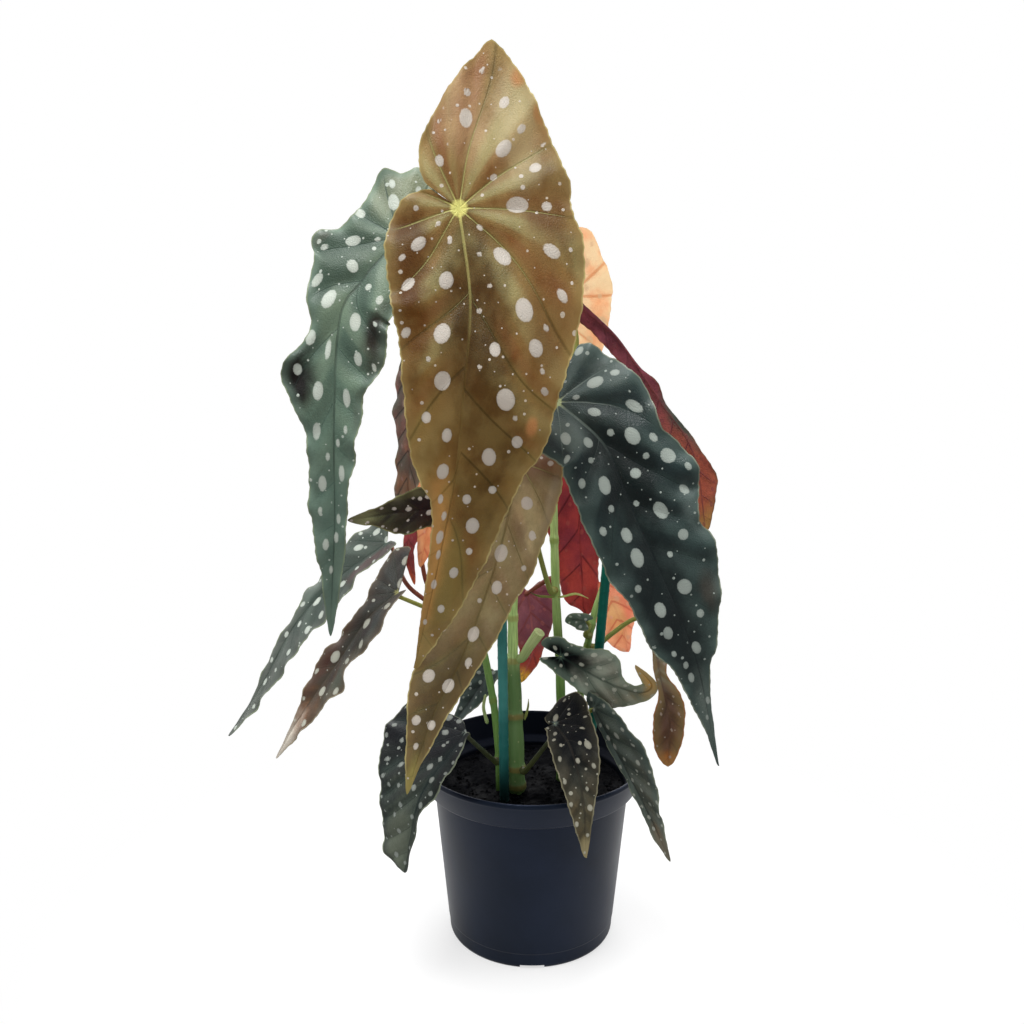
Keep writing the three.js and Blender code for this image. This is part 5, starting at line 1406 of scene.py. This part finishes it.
def addPot():
    p = potSet
    bandFoot, wall = p["height"] - p["rimBand"], p["wall"]
    profile = [(0, 0)]
    for k in range(9):
        turn = math.pi / 2 * k / 8
        profile.append((p["footRadius"] + (p["bodyBottom"] - p["footRadius"]) * math.sin(turn),
                        p["corner"] * (1 - math.cos(turn))))
    profile += [
        (p["bodyBottom"] + 0.4, 9), (p["bodyBottom"] + 0.75, 9.6), (p["bodyTop"], bandFoot),
        (p["rimFoot"], bandFoot + p["bandStep"]), (p["rimRadius"] - 0.35, p["height"] - 3.4),
        (p["rimRadius"], p["height"] - 2.6), (p["rimRadius"], p["height"] - p["lip"]),
        (p["rimRadius"] - p["lip"], p["height"]), (p["rimRadius"] - wall, p["height"] - p["lip"]),
        (p["rimFoot"] - wall, bandFoot + p["bandStep"] + wall), (p["bodyTop"] - wall, bandFoot + wall / 2),
        (p["bodyBottom"] - wall, p["corner"]), (p["footRadius"] - wall, wall), (0, wall),
    ]
    vertices, faces = turned(roundCorners(profile, 1.1), 160)
    # the inside faces get the darker copy of the plastic, painted shade
    outside, inside = makePlastic("pot_plastic", p["look"]), makePlastic("pot_inside_shaded", p["inside"])
    pot = addPiece("pot_shell", vertices, faces, "pot", [outside, inside], sharp=35)
    for side in pot.data.polygons:
        inwards = side.normal.to_2d().dot(side.center.to_2d()) < 0
        side.material_index = int(inwards and side.center.z > p["wall"] * mm)
    length, width, height = p["drain"]
    cutters = bpy.data.meshes.new("drain_cutters")
    corners, sides = [], []
    for k in range(p["drains"]):
        turn = 2 * math.pi * k / p["drains"]
        base = len(corners)
        for x in (-0.5, 0.5):
            for y in (-0.5, 0.5):
                for z in (-0.5, 0.5):
                    out, across = p["footRadius"] + x * length, y * width
                    corners.append(((out * math.cos(turn) - across * math.sin(turn)) * mm,
                                    (out * math.sin(turn) + across * math.cos(turn)) * mm, z * height * mm))
        for side in ((0, 1, 3, 2), (4, 6, 7, 5), (0, 4, 5, 1), (2, 3, 7, 6), (0, 2, 6, 4), (1, 5, 7, 3)):
            sides.append([base + i for i in side])
    cutters.from_pydata(corners, [], sides)
    tool = bpy.data.objects.new("drain_cutters", cutters)
    bpy.context.scene.collection.objects.link(tool)
    cut = pot.modifiers.new("drains", "BOOLEAN")
    cut.operation, cut.solver, cut.object = "DIFFERENCE", "EXACT", tool
    bpy.context.view_layer.update()
    finished = bpy.data.meshes.new_from_object(pot.evaluated_get(bpy.context.evaluated_depsgraph_get()))
    pot.modifiers.clear()
    pot.data = finished
    pot.data.set_sharp_from_angle(angle=math.radians(35))
    bpy.data.objects.remove(tool)


def makeSoil():
    material, wires, output = newMaterial("soil_peat")
    where = wires.node("ShaderNodeTexCoord").outputs["Object"]
    grains = wires.noise(where, 420, 6)
    patches = wires.noise(where, 70, 4)
    cells = wires.cells(where, 260.0, "3D")
    chance = wires.math("GREATER_THAN", wires.split(cells["Color"])[0], 0.9)
    fleck = wires.math("MULTIPLY", wires.fade(cells["Distance"], 0.35, 0.2), chance)
    body = wires.mix(wires.fade(grains, 0.35, 0.7), paint("#010103"), paint("#030408"))
    body = wires.mix(wires.fade(patches, 0.5, 0.75, 0.0, 0.6), body, paint("#020306"))
    body = wires.cover(body, fleck, 0.4, "#181a22")
    height = wires.math("MULTIPLY_ADD", patches, 1.5, grains)
    peat = wires.node("ShaderNodeBsdfPrincipled", {
        "Base Color": body, "Roughness": wires.fade(patches, 0.3, 0.7, 0.7, 0.95),
        "Normal": wires.bump(height, 0.7, 0.0008), "Specular IOR Level": 0.04,
    })
    wires.finish(output, peat)
    return material


def addSoil():
    rng = random.Random(5)
    p, s = potSet, soilSet
    bandFoot = p["height"] - p["rimBand"]

    def inside(z):
        share = (z - p["corner"]) / (bandFoot - p["corner"])
        return p["bodyBottom"] + (p["bodyTop"] - p["bodyBottom"]) * share - p["wall"] - s["gap"]

    floor = p["wall"] + s["gap"]
    rim = inside(s["top"] - 1) - 0.2
    profile = [(0, floor), (p["footRadius"] - p["wall"] - 1, floor),
               (inside(p["corner"]) - 0.5, p["corner"] + 0.5), (rim, s["top"] - 1)]
    rings = 64
    for k in range(1, rings):
        share = 1 - k / rings
        profile.append((rim * share, s["top"] + s["mound"] * (1 - share**2)))
    profile.append((0, s["top"] + s["mound"]))
    vertices, faces = turned(profile, 220)
    vertices = np.array(vertices, float)
    top = vertices[:, 2] > s["top"] - 0.5
    x, y = vertices[:, 0], vertices[:, 1]
    rough = sum(waves(x / d, y / d, rng, 7) * d * 0.035 for d in (34.0, 15.0, 7.0, 3.4, 1.9))
    dish = 1 - np.clip((np.hypot(x, y) - rim + 6) / 6, 0, 1)
    vertices[:, 2] += np.where(top, rough * np.maximum(dish, 0.25), 0)
    vertices, count = vertices.tolist(), len(vertices)
    # crumbs: squashed, uneven six-cornered lumps half sunk in the surface
    shape = [(1, 0, 0), (-1, 0, 0), (0, 1, 0), (0, -1, 0), (0, 0, 1), (0, 0, -1)]
    lump = [(0, 2, 4), (2, 1, 4), (1, 3, 4), (3, 0, 4), (2, 0, 5), (1, 2, 5), (3, 1, 5), (0, 3, 5)]
    for _ in range(s["crumbs"]):
        radius, turn = (rim - 2) * math.sqrt(rng.random()), rng.uniform(0, crumbTurn)
        size = rng.uniform(*s["crumbSize"]) * rng.uniform(0.5, 1)
        level = s["top"] + s["mound"] * (1 - (radius / rim) ** 2) + size * 0.2
        base, spin = len(vertices), rng.uniform(0, crumbTurn)
        for cx, cy, cz in shape:
            grow = size * rng.uniform(0.6, 1.2)
            vx, vy = cx * math.cos(spin) - cy * math.sin(spin), cx * math.sin(spin) + cy * math.cos(spin)
            vertices.append((radius * math.cos(turn) + vx * grow, radius * math.sin(turn) + vy * grow,
                             level + (cz * 0.6 + rng.uniform(-0.2, 0.2)) * grow))
        faces += [[base + i for i in face] for face in lump]
    addPiece("soil_peat", vertices, faces, "soil", [makeSoil()], sharp=75)


stakePlan = {
    "stake_teal": {"ends": [(-15, -25, 18), (-18.5, -26, 335)],
                   "look": {"dark": "#1c6662", "light": "#468f88", "dust": 0.3, "dustLevel": 0.7,
                            "dustColour": "#7fa8a0", "roughness": -0.04, "gloss": 0.4, "sheen": "#ffffff",
                            "darkeningRise": (0.096, 0.13)}},
    "stake_dark": {"ends": [(28, 0, 20), (49.5, 0, 318)],
                   "look": {"dark": "#005044", "light": "#027060", "dust": 0.3, "dustLevel": 0.72,
                            "dustColour": "#5f8a84", "roughness": -0.04, "gloss": 0.3, "sheen": "#ffffff",
                            "darkeningRise": (0.096, 0.13)}},
}


def addStakes():
    for name, plan in stakePlan.items():
        foot, head = (np.array(end, float) for end in plan["ends"])
        route = [foot + (head - foot) * share for share in (0, 0.33, 0.67, 1)]

        def radiusAt(gone, total, off):
            ridge = math.exp(-((gone % stakeSet["ridgePitch"] - 3) / 0.8) ** 2)
            return stakeSet["radius"] + stakeSet["ridge"] * (ridge - 1)

        coat = makePlastic(name + "_plastic", plan["look"])
        addStem(name + "_coat", name, route, radiusAt, [coat], step=0.6, sides=28, capRound=0.6)


addPot()
addSoil()
addStakes()
print("pot, soil and stakes built")


def addStudio():
    s = studio
    half = s["floorSize"]
    mesh = bpy.data.meshes.new("floor")
    corners = [(-half, -half, 0), (half, -half, 0), (half, half, 0), (-half, half, 0)]
    mesh.from_pydata(corners, [], [(0, 1, 2, 3)])
    floor = bpy.data.objects.new("floor", mesh)
    bpy.context.scene.collection.objects.link(floor)
    material, wires, output = newMaterial("floor_paper")
    where = wires.node("ShaderNodeTexCoord").outputs["Object"]
    away = wires.node("ShaderNodeVectorMath", {0: where}, operation="LENGTH").outputs["Value"]
    tone = wires.mix(wires.noise(where, 8, 3), paint("#f4f4f4"), paint("#ffffff"))
    paper = wires.node("ShaderNodeBsdfDiffuse", {"Color": tone})
    seen = wires.node("ShaderNodeLightPath").outputs["Is Camera Ray"]
    glow = wires.node("ShaderNodeEmission", {
        "Color": (1, 1, 1, 1), "Strength": wires.fade(seen, 0, 1, s["floorGlow"], 1.0),
    })
    blend = wires.node("ShaderNodeMixShader", {
        0: wires.fade(away, *s["shadowReach"], 0.6, 1.0), 1: paper.outputs[0], 2: glow.outputs[0],
    })
    wires.link(blend.outputs[0], output.inputs["Surface"])
    mesh.materials.append(material)
    world = bpy.data.worlds.new("studio")
    bpy.context.scene.world = world
    world.use_nodes = True
    world.node_tree.nodes.clear()
    wires = Wires(world.node_tree)
    direction = wires.split(wires.node("ShaderNodeTexCoord").outputs["Generated"])[1]
    room = wires.node("ShaderNodeBackground", {
        "Color": (1, 1, 1, 1), "Strength": wires.fade(direction, -0.95, 0.35, s["front"], s["back"]),
    })
    plain = wires.node("ShaderNodeBackground", {"Color": (1, 1, 1, 1), "Strength": 1.0})
    seen = wires.node("ShaderNodeLightPath").outputs["Is Camera Ray"]
    both = wires.node("ShaderNodeMixShader", {0: seen, 1: room.outputs[0], 2: plain.outputs[0]})
    sky = wires.node("ShaderNodeOutputWorld")
    wires.link(both.outputs[0], sky.inputs["Surface"])
    for name, light in studio["lights"].items():
        data = bpy.data.lights.new(name, "AREA")
        data.energy, data.size = light["power"], light["size"]
        lamp = bpy.data.objects.new(name, data)
        place = np.array(light["place"])
        lamp.location = place
        aim = np.array(studio["aim"]) - place
        tilt = math.atan2(math.hypot(aim[0], aim[1]), -aim[2])
        lamp.rotation_euler = (tilt, 0, math.atan2(-aim[0], aim[1]))
        lamp.visible_glossy = light["mirrored"]
        bpy.context.scene.collection.objects.link(lamp)


addStudio()
print("floor and lights set")

bpy.context.view_layer.update()
